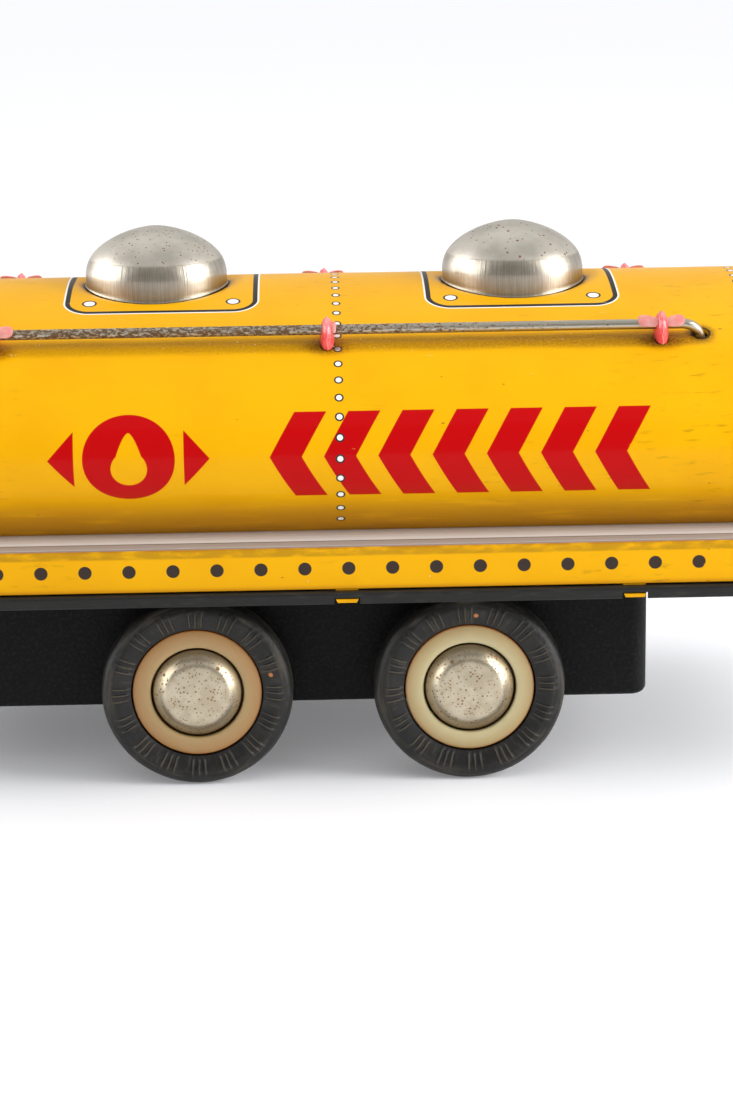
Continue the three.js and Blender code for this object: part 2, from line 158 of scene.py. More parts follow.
def solid(name, points, faces, uv=None):
    """A closed mesh object from points in millimetres; coincident points are merged."""
    mesh = bpy.data.meshes.new(name)
    mesh.from_pydata([Vector(p) * MM for p in points], [], faces)
    if uv:
        layer = mesh.uv_layers.new(name="Print")
        for loop in mesh.loops:
            layer.data[loop.index].uv = uv[loop.vertex_index]
    work = bmesh.new()
    work.from_mesh(mesh)
    bmesh.ops.remove_doubles(work, verts=work.verts, dist=1e-7)
    bmesh.ops.recalc_face_normals(work, faces=work.faces)
    work.to_mesh(mesh)
    work.free()
    return add_object(name, mesh)


def skin(rings, looped=False):
    """Points and faces over rings of equal length, looped round or closed by a flat cap at each end."""
    count = len(rings[0])
    points = [point for ring in rings for point in ring]
    faces = []
    for ring in range(len(rings) if looped else len(rings) - 1):
        here = ring * count
        beyond = (ring + 1) % len(rings) * count
        for k in range(count):
            after = (k + 1) % count
            faces.append((here + k, here + after, beyond + after, beyond + k))
    if not looped:
        faces.append(tuple(range(count)))
        faces.append(tuple(range(len(points) - 1, len(points) - count - 1, -1)))
    return points, faces


def solid_of(name, skins):
    """One object from several closed skins."""
    points, faces = [], []
    for more_points, more_faces in skins:
        faces += [tuple(index + len(points) for index in face) for face in more_faces]
        points += more_points
    return solid(name, points, faces)


def full_turn(columns):
    """Evenly spaced angles once round, in radians."""
    return [2 * math.pi * k / columns for k in range(columns)]


def quarter_turn(steps):
    """Angles from 0 to 90 degrees, both included, in radians."""
    return [math.pi / 2 * k / steps for k in range(steps + 1)]


def lathe(profile, columns):
    """Rings turned about the Y axis from [radius, distance along the axis] points."""
    angles = full_turn(columns)
    return [[(r * math.cos(a), y, r * math.sin(a)) for a in angles] for r, y in profile]


def smooth_line(points, steps):
    """Catmull-Rom curve through the points, with the given steps between each two."""
    padded = [points[0], *points, points[-1]]
    line = []
    for corners in zip(padded, padded[1:], padded[2:], padded[3:]):
        for k in range(steps):
            t = k / steps
            point = []
            for a, b, c, d in zip(*corners):
                square = 2 * a - 5 * b + 4 * c - d
                cube = 3 * b - a - 3 * c + d
                point.append(0.5 * (2 * b + (c - a) * t + square * t * t + cube * t ** 3))
            line.append(point)
    return [*line, list(points[-1])]


def arc(centre, radius, start, end, steps):
    """Points of a circular arc in a plane, between two angles in degrees."""
    turns = [math.radians(start + (end - start) * k / steps) for k in range(steps + 1)]
    return [(centre[0] + radius * math.cos(a), centre[1] + radius * math.sin(a)) for a in turns]


SMALLEST_CORNER = 0.4


def plan(front_x, rear_x, half_width, corner, inset, z, steps):
    """A rounded rectangle seen from above, as a ring of points."""
    radius = max(corner - inset, SMALLEST_CORNER)
    corners = ((rear_x, -1, 1), (front_x, 1, 1), (front_x, 1, -1), (rear_x, -1, -1))
    ring = []
    for quarter, (end_x, inwards, side) in enumerate(corners):
        centre = (end_x + inwards * (inset + radius), side * (half_width - inset - radius))
        ring += [(x, y, z) for x, y in arc(centre, radius, quarter * 90, quarter * 90 + 90, steps)]
    return ring


def pegs(name, places, sides=40):
    """Closed round pegs in one mesh: each place is (start, end, radius)."""
    skins = []
    for start, end, radius in places:
        turn = (Vector(end) - Vector(start)).to_track_quat("Z", "Y").to_matrix()
        circle = [turn @ Vector((radius * math.cos(a), radius * math.sin(a), 0)) for a in full_turn(sides)]
        skins.append(skin([[Vector(centre) + off for off in circle] for centre in (start, end)]))
    return solid_of(name, skins)


def blocks(name, corners):
    """Closed boxes in one mesh: each is given by its low and high corner."""
    skins = []
    for low, high in corners:
        outline = [(low[1], low[2]), (high[1], low[2]), (high[1], high[2]), (low[1], high[2])]
        skins.append(skin([[(x, y, z) for y, z in outline] for x in (low[0], high[0])]))
    return solid_of(name, skins)


def combine(target, tool, operation="DIFFERENCE"):
    """Cuts the tool out of the target, or joins it on, and removes the tool."""
    modifier = target.modifiers.new("combine", "BOOLEAN")
    modifier.operation = operation
    modifier.solver = "EXACT"
    modifier.object = tool
    evaluated = target.evaluated_get(bpy.context.evaluated_depsgraph_get())
    mesh = bpy.data.meshes.new_from_object(evaluated)
    target.modifiers.clear()
    target.data = mesh
    bpy.data.objects.remove(tool)


def dress(obj, body, materials, nodes=(), angle=35):
    """Smooth shading with crisp folds, the finish, and the body that the piece moves with."""
    mesh = obj.data
    mesh.polygons.foreach_set("use_smooth", [True] * len(mesh.polygons))
    mesh.set_sharp_from_angle(angle=math.radians(angle))
    for material in materials:
        mesh.materials.append(material)
    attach(obj, body)
    if nodes:
        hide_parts(*nodes)
    return obj


# ---------------------------------------------------------------- shader arithmetic

def rgb(red, green, blue):
    """A display colour of 0 to 255 per channel as the linear colour that a shader takes."""
    def linear(value):
        share = value / 255
        return share / 12.92 if share <= 0.04045 else ((share + 0.055) / 1.055) ** 2.4
    return (linear(red), linear(green), linear(blue), 1)


class Field:
    """Wraps a node's output, so that a value that varies over a surface is written as arithmetic."""

    def __init__(self, tree, socket):
        self.tree = tree
        self.socket = socket

    def math(self, operation, *others):
        node = self.tree.nodes.new("ShaderNodeMath")
        node.operation = operation
        for slot, value in zip(node.inputs, (self, *others)):
            feed(self.tree, slot, value)
        return Field(self.tree, node.outputs[0])

    def __add__(self, other):
        return self.math("ADD", other)

    def __sub__(self, other):
        return self.math("SUBTRACT", other)

    def __mul__(self, other):
        return self.math("MULTIPLY", other)

    def __truediv__(self, other):
        return self.math("DIVIDE", other)

    def __abs__(self):
        return self.math("ABSOLUTE")

    __radd__ = __add__
    __rmul__ = __mul__

    def smaller(self, other):
        return self.math("MINIMUM", other)

    def larger(self, other):
        return self.math("MAXIMUM", other)

    def rising(self, low, high):
        """0 below low, 1 above high, smooth between."""
        node = self.tree.nodes.new("ShaderNodeMapRange")
        node.interpolation_type = "SMOOTHSTEP"
        for slot, value in zip(node.inputs, (self, low, high, 0.0, 1.0)):
            feed(self.tree, slot, value)
        return Field(self.tree, node.outputs[0])

    def falling(self, low, high):
        return 1 - self.rising(low, high)

    def __rsub__(self, other):
        node = self.tree.nodes.new("ShaderNodeMath")
        node.operation = "SUBTRACT"
        feed(self.tree, node.inputs[0], other)
        feed(self.tree, node.inputs[1], self)
        return Field(self.tree, node.outputs[0])


def feed(tree, slot, value):
    """Links a field to a shader slot, or sets the slot to a plain value."""
    if isinstance(value, Field):
        tree.links.new(value.socket, slot)
    else:
        slot.default_value = value


def length(u, v):
    """Distance from the origin of a plane."""
    return (u * u + v * v).math("SQRT")


class Paint:
    """One node material: its shader, and the patterns that feed it. Places are in millimetres."""

    def __init__(self, name, settings):
        self.material = bpy.data.materials.new(name)
        self.material.use_nodes = True
        self.tree = self.material.node_tree
        self.shader = self.tree.nodes["Principled BSDF"]
        for socket, value in settings.items():
            self.shader.inputs[socket].default_value = value

    def node(self, kind, inputs=(), **settings):
        node = self.tree.nodes.new(kind)
        for key, value in settings.items():
            setattr(node, key, value)
        for socket, value in dict(inputs).items():
            feed(self.tree, node.inputs[socket], value)
        return node

    def parts_of(self, vector):
        node = self.node("ShaderNodeSeparateXYZ", {0: vector})
        return [Field(self.tree, output) for output in node.outputs]

    def place(self):
        """x, y and z in the object's own coordinates."""
        coordinates = Field(self.tree, self.node("ShaderNodeTexCoord").outputs["Object"])
        scaled = self.node("ShaderNodeVectorMath", {0: coordinates, "Scale": 1 / MM}, operation="SCALE")
        return self.parts_of(Field(self.tree, scaled.outputs[0]))

    def print_place(self):
        """Distance along the wagon, and round the tank from its top line, both in millimetres."""
        uv = self.node("ShaderNodeUVMap", uv_map="Print").outputs[0]
        return self.parts_of(Field(self.tree, uv))[:2]

    def wheel_place(self):
        """x, y and z on a wheel piece before it was rolled to its own angle."""
        across = self.place()[1]
        x, z = self.print_place()
        return [x, across, z]

    def point(self, x, y, z=0.0):
        return Field(self.tree, self.node("ShaderNodeCombineXYZ", {0: x, 1: y, 2: z}).outputs[0])

    def noise(self, point, size, detail=3.0, roughness=0.55):
        """Cloudy values about 0.5, with features of the given size."""
        inputs = {"Vector": point, "Scale": 1 / size, "Detail": detail, "Roughness": roughness}
        return Field(self.tree, self.node("ShaderNodeTexNoise", inputs).outputs[0])

    def specks(self, point, spacing, size, share):
        """Spots up to the given size, in a share of cells that lie the given spacing apart."""
        cells = self.node("ShaderNodeTexVoronoi", {"Vector": point, "Scale": 1 / spacing})
        distance = Field(self.tree, cells.outputs["Distance"])
        chance, growth, _ = self.parts_of(Field(self.tree, cells.outputs["Color"]))
        radius = (growth * 0.7 + 0.3) * (size / 2 / spacing)
        return distance.falling(radius * 0.6, radius) * chance.falling(share - 0.001, share + 0.001)

    def mix(self, share, first, second):
        """The first colour, with the given share of the second laid over it."""
        node = self.node("ShaderNodeMix", data_type="RGBA")
        for slot, value in ((0, share), (6, first), (7, second)):
            feed(self.tree, node.inputs[slot], value)
        return Field(self.tree, node.outputs[2])

    def between(self, share, low, high):
        """A value that runs from low to high with the share."""
        return share * (high - low) + low

    def bump(self, height, depth, normal=None):
        """Raises the surface by the height field times the depth in millimetres."""
        inputs = {"Height": height, "Distance": depth * MM, "Strength": 1.0}
        if normal:
            inputs["Normal"] = normal
        return Field(self.tree, self.node("ShaderNodeBump", inputs).outputs[0])

    def connect(self, **fields):
        """Feeds the shader's named inputs, and gives the finished material."""
        for name, field in fields.items():
            feed(self.tree, self.shader.inputs[name.replace("_", " ").title()], field)
        return self.material


# ---------------------------------------------------------------- finishes: printed tin

YELLOW = rgb(233, 171, 0)
DEEP_YELLOW = rgb(223, 156, 0)
RED = rgb(184, 1, 5)
INK = rgb(44, 42, 42)
WHITE = rgb(240, 238, 234)
DIRT = rgb(120, 82, 28)
OLIVE_SMUDGE = rgb(140, 112, 10)
BARE_TIN = rgb(240, 246, 255)
# colour of the painted shade along the tank's tuck
TUCK_SHADE = rgb(132, 74, 0)

PRINT_EDGE = 0.05                           # softness of a printed edge
RIVET_PITCH = 4.12
RIVET_RINGS_X = TANK_HALF_LENGTH - 6.35
RIVET_DOT = 0.9
RIVET_FILL = 0.58
RIVET_LOWEST = 78
PANEL_SHIFT = 1.2                           # the print sits a little behind the domes
PANEL_SPACING = 72.5
PANEL_HALF_LENGTH = 19.3
PANEL_HALF_ARC = 21.2
PANEL_CORNER = 5
PANEL_LINE = 0.95
PANEL_EDGING = 0.35
SCREW_PLACE = (14.4, 16.6)
SCREW_RADIUS = 1.5
SCREW_FILL = 1.12
GRAPHIC_ARC = 59.2                          # middle of the red graphics, round the tank
GRAPHIC_HALF_HEIGHT = 8.9
ROUNDEL_X = -40.7
DROP_TOP = -5.2                             # heights in the roundel, counted downwards
DROP_SHOULDER = 1.4
DROP_CENTRE = 1.9
DROP_RADIUS = 3.5
DROP_WIDTH = 0.95
DROP_TAPER = 0.62
ARROW_TIP = 15.6                            # from the roundel's centre
ARROW_BASE = 10.6
ARROW_HALF_HEIGHT = 5.6
CHEVRONS_FROM = -13.6
CHEVRONS_TO = 63.5
CHEVRON_PITCH = 10.45
CHEVRON_HALF_WIDTH = 3.1
CHEVRON_SLOPE = 0.55
GRIME_ARC = 33.6
GRIME_HALF_WIDTH = 2.6
FOOT_ARC = 32.1                             # the handrail's foot, round the tank

LITHO = {"Roughness": 0.4, "Coat Weight": 0.12, "Coat Roughness": 0.05, "Specular IOR Level": 0.05}


def inside(distance):
    """1 where a signed distance is negative, with a printed edge."""
    return distance.falling(-PRINT_EDGE, PRINT_EDGE)


def aged_yellow(paint, along, across):
    """Yellow litho ink with faint clouds, smudges dragged along the wagon, dark pits and pale chips."""
    flat = paint.point(along, across)
    dragged = paint.point(along / 5, across)
    colour = paint.mix(paint.noise(flat, 22).rising(0.35, 0.75) * 0.5, YELLOW, DEEP_YELLOW)
    patches = (paint.noise(flat, 26) + along.rising(20, 90) * 0.16).rising(0.5, 0.7)
    smudges = paint.noise(dragged, 1.1, detail=6).rising(0.56, 0.74) * patches
    colour = paint.mix(smudges * 0.55, colour, OLIVE_SMUDGE)
    colour = paint.mix(paint.specks(paint.point(along / 1.8, across), 2.2, 0.5, 0.1) * 0.7, colour, DIRT)
    return paint.mix(paint.specks(flat, 3.4, 0.42, 0.05) * 0.8, colour, WHITE)


def add_dots(paint, colour, along, down):
    """Three printed rings of round rivets."""
    side = (abs(along) - RIVET_RINGS_X).math("ABSOLUTE").smaller(abs(along))
    step = RIVET_PITCH / 2 - down.math("PINGPONG", RIVET_PITCH / 2)
    distance = length(side, step)
    shown = down.falling(RIVET_LOWEST, RIVET_LOWEST + 0.1)
    colour = paint.mix(inside(distance - RIVET_DOT) * shown, colour, INK)
    return paint.mix(inside(distance - RIVET_FILL) * shown, colour, WHITE)


def add_panels(paint, colour, along, down):
    """A rounded panel line and four screw heads round each filler."""
    beside = (abs(along - PANEL_SHIFT) - PANEL_SPACING / 2).math("ABSOLUTE")
    past_end = beside - (PANEL_HALF_LENGTH - PANEL_CORNER)
    past_side = down - (PANEL_HALF_ARC - PANEL_CORNER)
    outside = length(past_end.larger(0.0), past_side.larger(0.0))
    distance = outside + past_end.larger(past_side).smaller(0.0) - PANEL_CORNER
    colour = paint.mix(inside(distance - PANEL_EDGING) * (1 - inside(distance)), colour, WHITE)
    colour = paint.mix(inside(distance) * (1 - inside(distance + PANEL_LINE)), colour, INK)
    screw = length(beside - SCREW_PLACE[0], down - SCREW_PLACE[1])
    colour = paint.mix(inside(screw - SCREW_RADIUS), colour, INK)
    return paint.mix(inside(screw - SCREW_FILL), colour, WHITE)


def add_graphics(paint, colour, along, down):
    """Plain red shapes: a roundel with an oil drop between two arrowheads, and a row of chevrons."""
    height = down - GRAPHIC_ARC
    band = inside(abs(height) - GRAPHIC_HALF_HEIGHT)
    centre = along - ROUNDEL_X
    roundel = inside(length(centre, height) - GRAPHIC_HALF_HEIGHT)
    # the drop is a circle that narrows to a point at its top
    narrowing = (height - DROP_TOP).larger(0.0).math("POWER", DROP_TAPER) * DROP_WIDTH
    bottom = inside(length(centre, height - DROP_CENTRE) - DROP_RADIUS)
    point = inside(abs(centre) - narrowing) * inside(height - DROP_SHOULDER) * inside(DROP_TOP - height)
    drop = point.larger(bottom)
    arrow_slope = ARROW_HALF_HEIGHT / (ARROW_TIP - ARROW_BASE)
    arrows = inside(abs(height) + (abs(centre) - ARROW_TIP) * arrow_slope)
    arrows = arrows * inside(ARROW_BASE - abs(centre))
    slanted = along - abs(height) * CHEVRON_SLOPE
    stroke = (slanted - CHEVRONS_FROM - CHEVRON_HALF_WIDTH).math("PINGPONG", CHEVRON_PITCH / 2)
    last = CHEVRONS_TO - CHEVRON_SLOPE * GRAPHIC_HALF_HEIGHT
    run = inside(CHEVRONS_FROM - slanted) * inside(slanted - last)
    chevrons = inside(stroke - CHEVRON_HALF_WIDTH) * run
    shapes = (roundel * (1 - drop)).larger(arrows).larger(chevrons * band)
    worn = paint.specks(paint.point(along, down), 3.1, 0.4, 0.05) * 0.7
    return paint.mix(shapes * (1 - worn), colour, RED)


def add_rail_grime(paint, colour, along, down):
    """Rusty dirt that gathers under the handrail, thickest round the clips and towards the rear, with
    painted shade round the clips' stem holes and the rail's feet.
    """
    flat = paint.point(along, down)
    waver = paint.noise(paint.point(along / 6, down), 2.5) * 2.4 - 1.2
    band = abs(down + waver * 0.5 - GRIME_ARC).falling(1, GRIME_HALF_WIDTH + 0.4)
    ends = along.rising(RAIL_FRONT_X - TANK_X - 6, RAIL_FRONT_X - TANK_X + 3)
    ends = ends * along.falling(RAIL_REAR_X - TANK_X - 3, RAIL_REAR_X - TANK_X + 5)
    thickness = along.rising(-80, 75) * 0.35 + 0.4
    grain = paint.noise(flat, 0.55, detail=4).rising(0.25, 0.7) * 0.5 + 0.5
    colour = paint.mix(band * ends * thickness * grain, colour, DIRT)
    for x in CLIP_XS.values():
        beside = along - (x - TANK_X)
        spot = length(beside / 1.7, down - GRIME_ARC - 0.6).falling(0.8, 3.6)
        colour = paint.mix(spot * grain * 0.8, colour, rgb(72, 36, 12))
        # painted shade and grime: a dark spot round each clip's stem hole
        hole = length(beside, down - GRIME_ARC - 0.3).falling(1.1, 1.8)
        colour = paint.mix(hole * 0.9, colour, rgb(40, 12, 6))
    for x in (RAIL_FRONT_X, RAIL_REAR_X):
        spot = length(along - (x - TANK_X), down - FOOT_ARC).falling(1.5, 3.6)
        colour = paint.mix(spot * grain * 0.85, colour, rgb(66, 38, 16))
        # painted shade: a near-black ring round the edge of each foot's hole
        rim = abs(length(along - (x - TANK_X), down - FOOT_ARC) - 1.7).falling(0.15, 0.35)
        colour = paint.mix(rim * 0.9, colour, rgb(26, 20, 14))
    crumbs = paint.specks(flat, 0.9, 0.4, 0.25) * band * ends
    return paint.mix(crumbs * 0.85, colour, rgb(232, 210, 170))


def add_dome_shadow(paint, colour, along, across):
    """Painted shade in brown round each dome's foot, and a painted dark shadow in the gap between it and
    the tank.
    """
    from_dome = length(abs(along) - DOME_HALF_SPACING, across)
    ground = paint.noise(paint.point(along, across), 4).rising(0.3, 0.6) * 0.5 + 0.5
    # painted shade: patchy brown on the tank round each dome's foot
    foot_shade = from_dome.falling(DOME_RADIUS + 0.5, DOME_RADIUS + 2.1) * ground * 0.6
    colour = paint.mix(foot_shade, colour, rgb(112, 62, 8))
    # painted shadow: a near-black ring in the gap under each dome's edge
    return paint.mix(from_dome.falling(DOME_RADIUS + 0.5, DOME_RADIUS + 1), colour, rgb(30, 16, 6))


def tank_litho():
    """The tank's print: aged yellow, panels, graphics and rivets, under the dirt of use, with painted
    shade along its tuck and round the domes.
    """
    paint = Paint("tank_litho", LITHO)
    along, across = paint.print_place()
    down = abs(across)
    colour = aged_yellow(paint, along, across)
    colour = add_panels(paint, colour, along, down)
    colour = add_graphics(paint, colour, along, down)
    # painted shade: the tuck under the tank's sides is painted darker and more orange, in patches
    tuck_shade = down.rising(64, 76) * paint.noise(paint.point(along / 6, across), 3).rising(0.1, 0.5)
    colour = paint.mix(tuck_shade * 0.5, colour, TUCK_SHADE)
    colour = add_dots(paint, colour, along, down)
    colour = add_rail_grime(paint, colour, along, down)
    colour = add_dome_shadow(paint, colour, along, across)
    scratches = paint.specks(paint.point(along * 0.25 + across * 0.05, across * 2.4), 2.4, 0.6, 0.16)
    colour = paint.mix(scratches * 0.35, colour, rgb(255, 226, 150))
    gloss = paint.noise(paint.point(along, across), 9)
    return paint.connect(base_color=colour, roughness=paint.between(gloss, 0.3, 0.46))


TRAY_DOT_PITCH = 8.53
TRAY_DOT_RADIUS = 1.3
TRAY_DOT_Z = 45.1
TRAY_DOT_SHIFT = 1.3
TRAY_DOT_INK = rgb(58, 47, 42)
LEDGE_LOW_Z = tray_high.z - 0.35
# height where the skirt's darker band of dirt and painted shade begins under the ledge
UNDER_LEDGE_Z = tray_high.z - 0.75
LEDGE_LINE_INSET = 3.7
LEDGE_LINE_HALF_WIDTH = 0.25


def ledge_tin(paint, run, y, z, edge):
    """Bare tin with grey blotches and rust specks, painted darker outside a dark seam line as painted
    shade; edge is the way in.
    """
    blotches = paint.noise(paint.point(run / 4, z, y), 1.2, detail=5)
    tin = paint.mix(blotches.rising(0.4, 0.75) * 0.3, BARE_TIN, rgb(196, 186, 180))
    # painted shade: the ledge's outer part is darker, as the bead's outer face would be
    outer_shade = edge.falling(LEDGE_LINE_INSET - 0.3, LEDGE_LINE_INSET) * 0.75
    tin = paint.mix(outer_shade, tin, rgb(142, 128, 116))
    # painted shade: the lower part of the rounded top edge is darker
    tin = paint.mix(z.falling(tray_high.z - 0.14, tray_high.z - 0.04) * 0.8, tin, rgb(134, 112, 96))
    tin = paint.mix(paint.specks(paint.point(run / 2, z, y), 2.2, 0.55, 0.22), tin, rgb(92, 62, 40))
    line = inside(abs(edge - LEDGE_LINE_INSET) - LEDGE_LINE_HALF_WIDTH)
    return paint.mix(line * 0.85, tin, rgb(66, 54, 46))


def tray_litho():
    """Yellow skirt with a row of dark dots under a bare tin ledge with a dark seam line; the skirt's top
    under the ledge is darker in patches, partly dirt and partly painted shade, and its foot is painted
    darker as painted shade.
    """
    paint = Paint("tray_litho", LITHO)
    x, y, z = paint.place()
    along = x - TANK_X
    on_side = abs(y).rising(TRAY_HALF_WIDTH - 1, TRAY_HALF_WIDTH - 0.5)
    run = on_side * along + (1 - on_side) * (y + TRAY_DOT_SHIFT)
    colour = aged_yellow(paint, run, z)
    step = (run - TRAY_DOT_SHIFT).math("PINGPONG", TRAY_DOT_PITCH / 2)
    dot = inside(length(step, z - TRAY_DOT_Z) - TRAY_DOT_RADIUS)
    scratched = paint.specks(paint.point(run * 4, z * 0.5), 3, 0.8, 0.1)
    colour = paint.mix(dot * (1 - scratched), colour, TRAY_DOT_INK)
    dirt = paint.noise(paint.point(run / 3, z), 1.6)
    # dirt and painted shade: the skirt's top just under the ledge is darker olive and orange-brown in
    # patches
    seam = z.rising(UNDER_LEDGE_Z - 1.6, UNDER_LEDGE_Z - 1.1) * dirt.rising(0.2, 0.6)
    colour = paint.mix(seam * 0.62, colour, rgb(150, 112, 18))
    stain_and_shade = z.rising(UNDER_LEDGE_Z - 0.05, UNDER_LEDGE_Z + 0.25) * dirt.rising(0.25, 0.6)
    colour = paint.mix(stain_and_shade * 0.6, colour, rgb(176, 98, 20))
    chips = paint.specks(paint.point(run / 2, z), 3.2, 0.7, 0.12)
    chips = chips * z.rising(TRAY_DOT_Z + 1.5, TRAY_DOT_Z + 3) * 0.8
    colour = paint.mix(chips, colour, rgb(60, 58, 70))
    # painted shade: darker orange along the skirt's foot, above the black lip
    foot = z.falling(TRAY_BOTTOM_Z + 0.2, TRAY_BOTTOM_Z + 1.1) * 0.5
    colour = paint.mix(foot, colour, rgb(196, 120, 10))
    bare = z.rising(LEDGE_LOW_Z - 0.05, LEDGE_LOW_Z + 0.05)
    edge = (TRAY_HALF_WIDTH - abs(y)).smaller(TRAY_HALF_LENGTH - abs(along))
    return paint.connect(base_color=paint.mix(bare, colour, ledge_tin(paint, run, y, z, edge)))


def plain_yellow():
    """The end caps' and tabs' yellow, darker and more orange in patches low down."""
    paint = Paint("plain_yellow", LITHO)
    x, y, z = paint.place()
    colour = aged_yellow(paint, y + x * 0.3, z)
    low = z.falling(TRAY_BOTTOM_Z, tray_high.z + 9)
    low = low * paint.noise(paint.point(y, z, x), 5).rising(0.3, 0.7)
    return paint.connect(base_color=paint.mix(low * 0.45, colour, rgb(176, 118, 14)))


# ---------------------------------------------------------------- finishes: metals, plastics and rubber

RUST = rgb(112, 70, 34)


def brushed_nickel(name, size, share):
    """Dulled nickel: vertical brush marks on the band, rust pinpricks on the crown, and a band painted
    darker and browner towards its foot as painted reflection.
    """
    paint = Paint(name, {})
    x, y, z = paint.place()
    turn = y.math("ARCTAN2", x) * DOME_RADIUS
    streaks = paint.noise(paint.point(turn, z / 30), 0.32, detail=4)
    band = z.falling(CREASE_TOP_Z - 0.3, CREASE_TOP_Z + 0.2)
    cloud = paint.noise(paint.point(x, y, z), 5)
    pricks = paint.specks(paint.point(x, y, z), size * 1.5, size, share)
    pricks = pricks * (1 - band * 0.9) * (x * 0.05 + z * 0.12 + cloud * 2).rising(12.4, 13.1)
    tone = paint.mix(cloud.rising(0.3, 0.7), rgb(205, 199, 188), rgb(188, 182, 170))
    # painted reflection: the band is painted darker, for its dark reflection
    tone = paint.mix(band * 0.35, tone, rgb(146, 136, 120))
    tone = paint.mix(band * streaks.rising(0.35, 0.75) * 0.6, tone, rgb(132, 124, 110))
    # painted reflection: brown at the band's foot, for the yellow tank mirrored there
    low = z.falling(TANK_CENTRE_Z + TANK_HALF_HEIGHT - 1.2, TANK_CENTRE_Z + TANK_HALF_HEIGHT + 1.2)
    tone = paint.mix(low * 0.35, tone, rgb(150, 132, 100))
    colour = paint.mix(pricks, tone, RUST)
    rough = paint.between(streaks, 0.26, 0.4) + (1 - band) * 0.1 + pricks * 0.3
    normal = paint.bump(streaks * band, 0.05)
    return paint.connect(base_color=colour, metallic=1 - pricks * 0.8, roughness=rough, normal=normal)


def wheel_nickel():
    """Nickel hubcap with brown rust specks and a darker, browner outer rim."""
    paint = Paint("wheel_nickel", {"Metallic": 1})
    x, y, z = paint.wheel_place()
    place = paint.point(x, y, z)
    radius = length(x, z)
    pricks = paint.specks(place, 0.62, 0.55, 0.95) * paint.noise(place, 2.6).rising(0.3, 0.46)
    pricks = pricks.larger(paint.specks(place, 2.2, 1.1, 0.4))
    tone = paint.mix(paint.noise(place, 2.4).rising(0.3, 0.7), rgb(202, 192, 170), rgb(184, 172, 148))
    rim = radius.rising(6.6, 8.4)
    tone = paint.mix(rim * 0.8, tone, rgb(128, 108, 72))
    colour = paint.mix(pricks * 0.85, tone, rgb(120, 76, 30))
    rough = paint.between(paint.noise(place, 0.7), 0.3, 0.42) + pricks * 0.3
    normal = paint.bump(paint.noise(place, 3), 0.06)
    return paint.connect(base_color=colour, metallic=1 - pricks * 0.85, roughness=rough, normal=normal)


def rail_steel():
    """Bright wire at the rear that turns to scaly rust towards the front."""
    paint = Paint("rail_steel", {"Metallic": 1})
    x, y, z = paint.place()
    place = paint.point(x / 2.2, y, z)
    fading = (x - TANK_X).rising(-15, 60)
    scale = paint.noise(place, 0.42, detail=5, roughness=0.7)
    edge = paint.between(fading, 0.48, 0.66)
    rust = scale.rising(edge - 0.04, edge + 0.03)
    rust = rust.larger(paint.specks(paint.point(x / 1.6, y, z), 2, 0.7, 0.2))
    colour = paint.mix(rust, rgb(182, 176, 162), rgb(98, 72, 42))
    rough = paint.between(rust, 0.3, 0.75)
    normal = paint.bump(scale * rust, 0.12)
    return paint.connect(base_color=colour, metallic=1 - rust * 0.8, roughness=rough, normal=normal)


def plain_steel(name, tint):
    """Steel of the given tint with blotches of rust."""
    paint = Paint(name, {"Metallic": 1})
    place = paint.point(*paint.place())
    wear = paint.noise(place, 1.8, detail=5)
    colour = paint.mix(wear.rising(0.5, 0.75), tint, RUST)
    rough = paint.between(wear, 0.25, 0.6)
    return paint.connect(base_color=colour, roughness=rough, normal=paint.bump(wear, 0.05))


def coral_plastic():
    """Glossy coral moulding, paler along its mould seam and towards its top."""
    settings = {"Roughness": 0.16, "Subsurface Weight": 0.3, "Subsurface Scale": 0.001,
                "Coat Weight": 0.3}
    paint = Paint("coral_plastic", settings)
    x, y, z = paint.place()
    place = paint.point(x, y, z)
    cloud = paint.noise(place, 1.4).rising(0.35, 0.7)
    colour = paint.mix(cloud, rgb(252, 70, 78), rgb(255, 100, 104))
    from_seam = abs(paint.print_place()[0])
    colour = paint.mix(from_seam.falling(0.04, 0.13) * 0.5, colour, rgb(255, 176, 170))
    pale = z.rising(RAIL_Z, RAIL_Z + 2.4)
    colour = paint.mix(pale * 0.45, colour, rgb(252, 150, 150))
    return paint.connect(base_color=colour, normal=paint.bump(paint.noise(place, 0.7), 0.03))


def wing_plastic():
    """The clips' thin wings let light through and look paler."""
    settings = {"Roughness": 0.35, "Transmission Weight": 0.3, "IOR": 1.3, "Subsurface Weight": 0.5,
                "Subsurface Scale": 0.002}
    paint = Paint("wing_plastic", settings)
    place = paint.point(*paint.place())
    colour = paint.mix(paint.noise(place, 1.6).rising(0.3, 0.7), rgb(248, 150, 144), rgb(252, 186, 178))
    return paint.connect(base_color=colour)


def wrinkled_black():
    """Black enamel with a fine wrinkle and a few pale flecks."""
    paint = Paint("wrinkled_black", {"Specular IOR Level": 0.12})
    x, y, z = paint.place()
    place = paint.point(x, y, z)
    wrinkle = paint.noise(place, 0.7, detail=3)
    colour = paint.mix(wrinkle.rising(0.45, 0.7), rgb(14, 14, 14), rgb(26, 26, 26))
    colour = paint.mix(paint.specks(place, 2.8, 0.5, 0.16) * 0.5, colour, rgb(104, 104, 100))
    rough = paint.between(paint.noise(place, 6), 0.42, 0.6)
    return paint.connect(base_color=colour, roughness=rough, normal=paint.bump(wrinkle, 0.16))


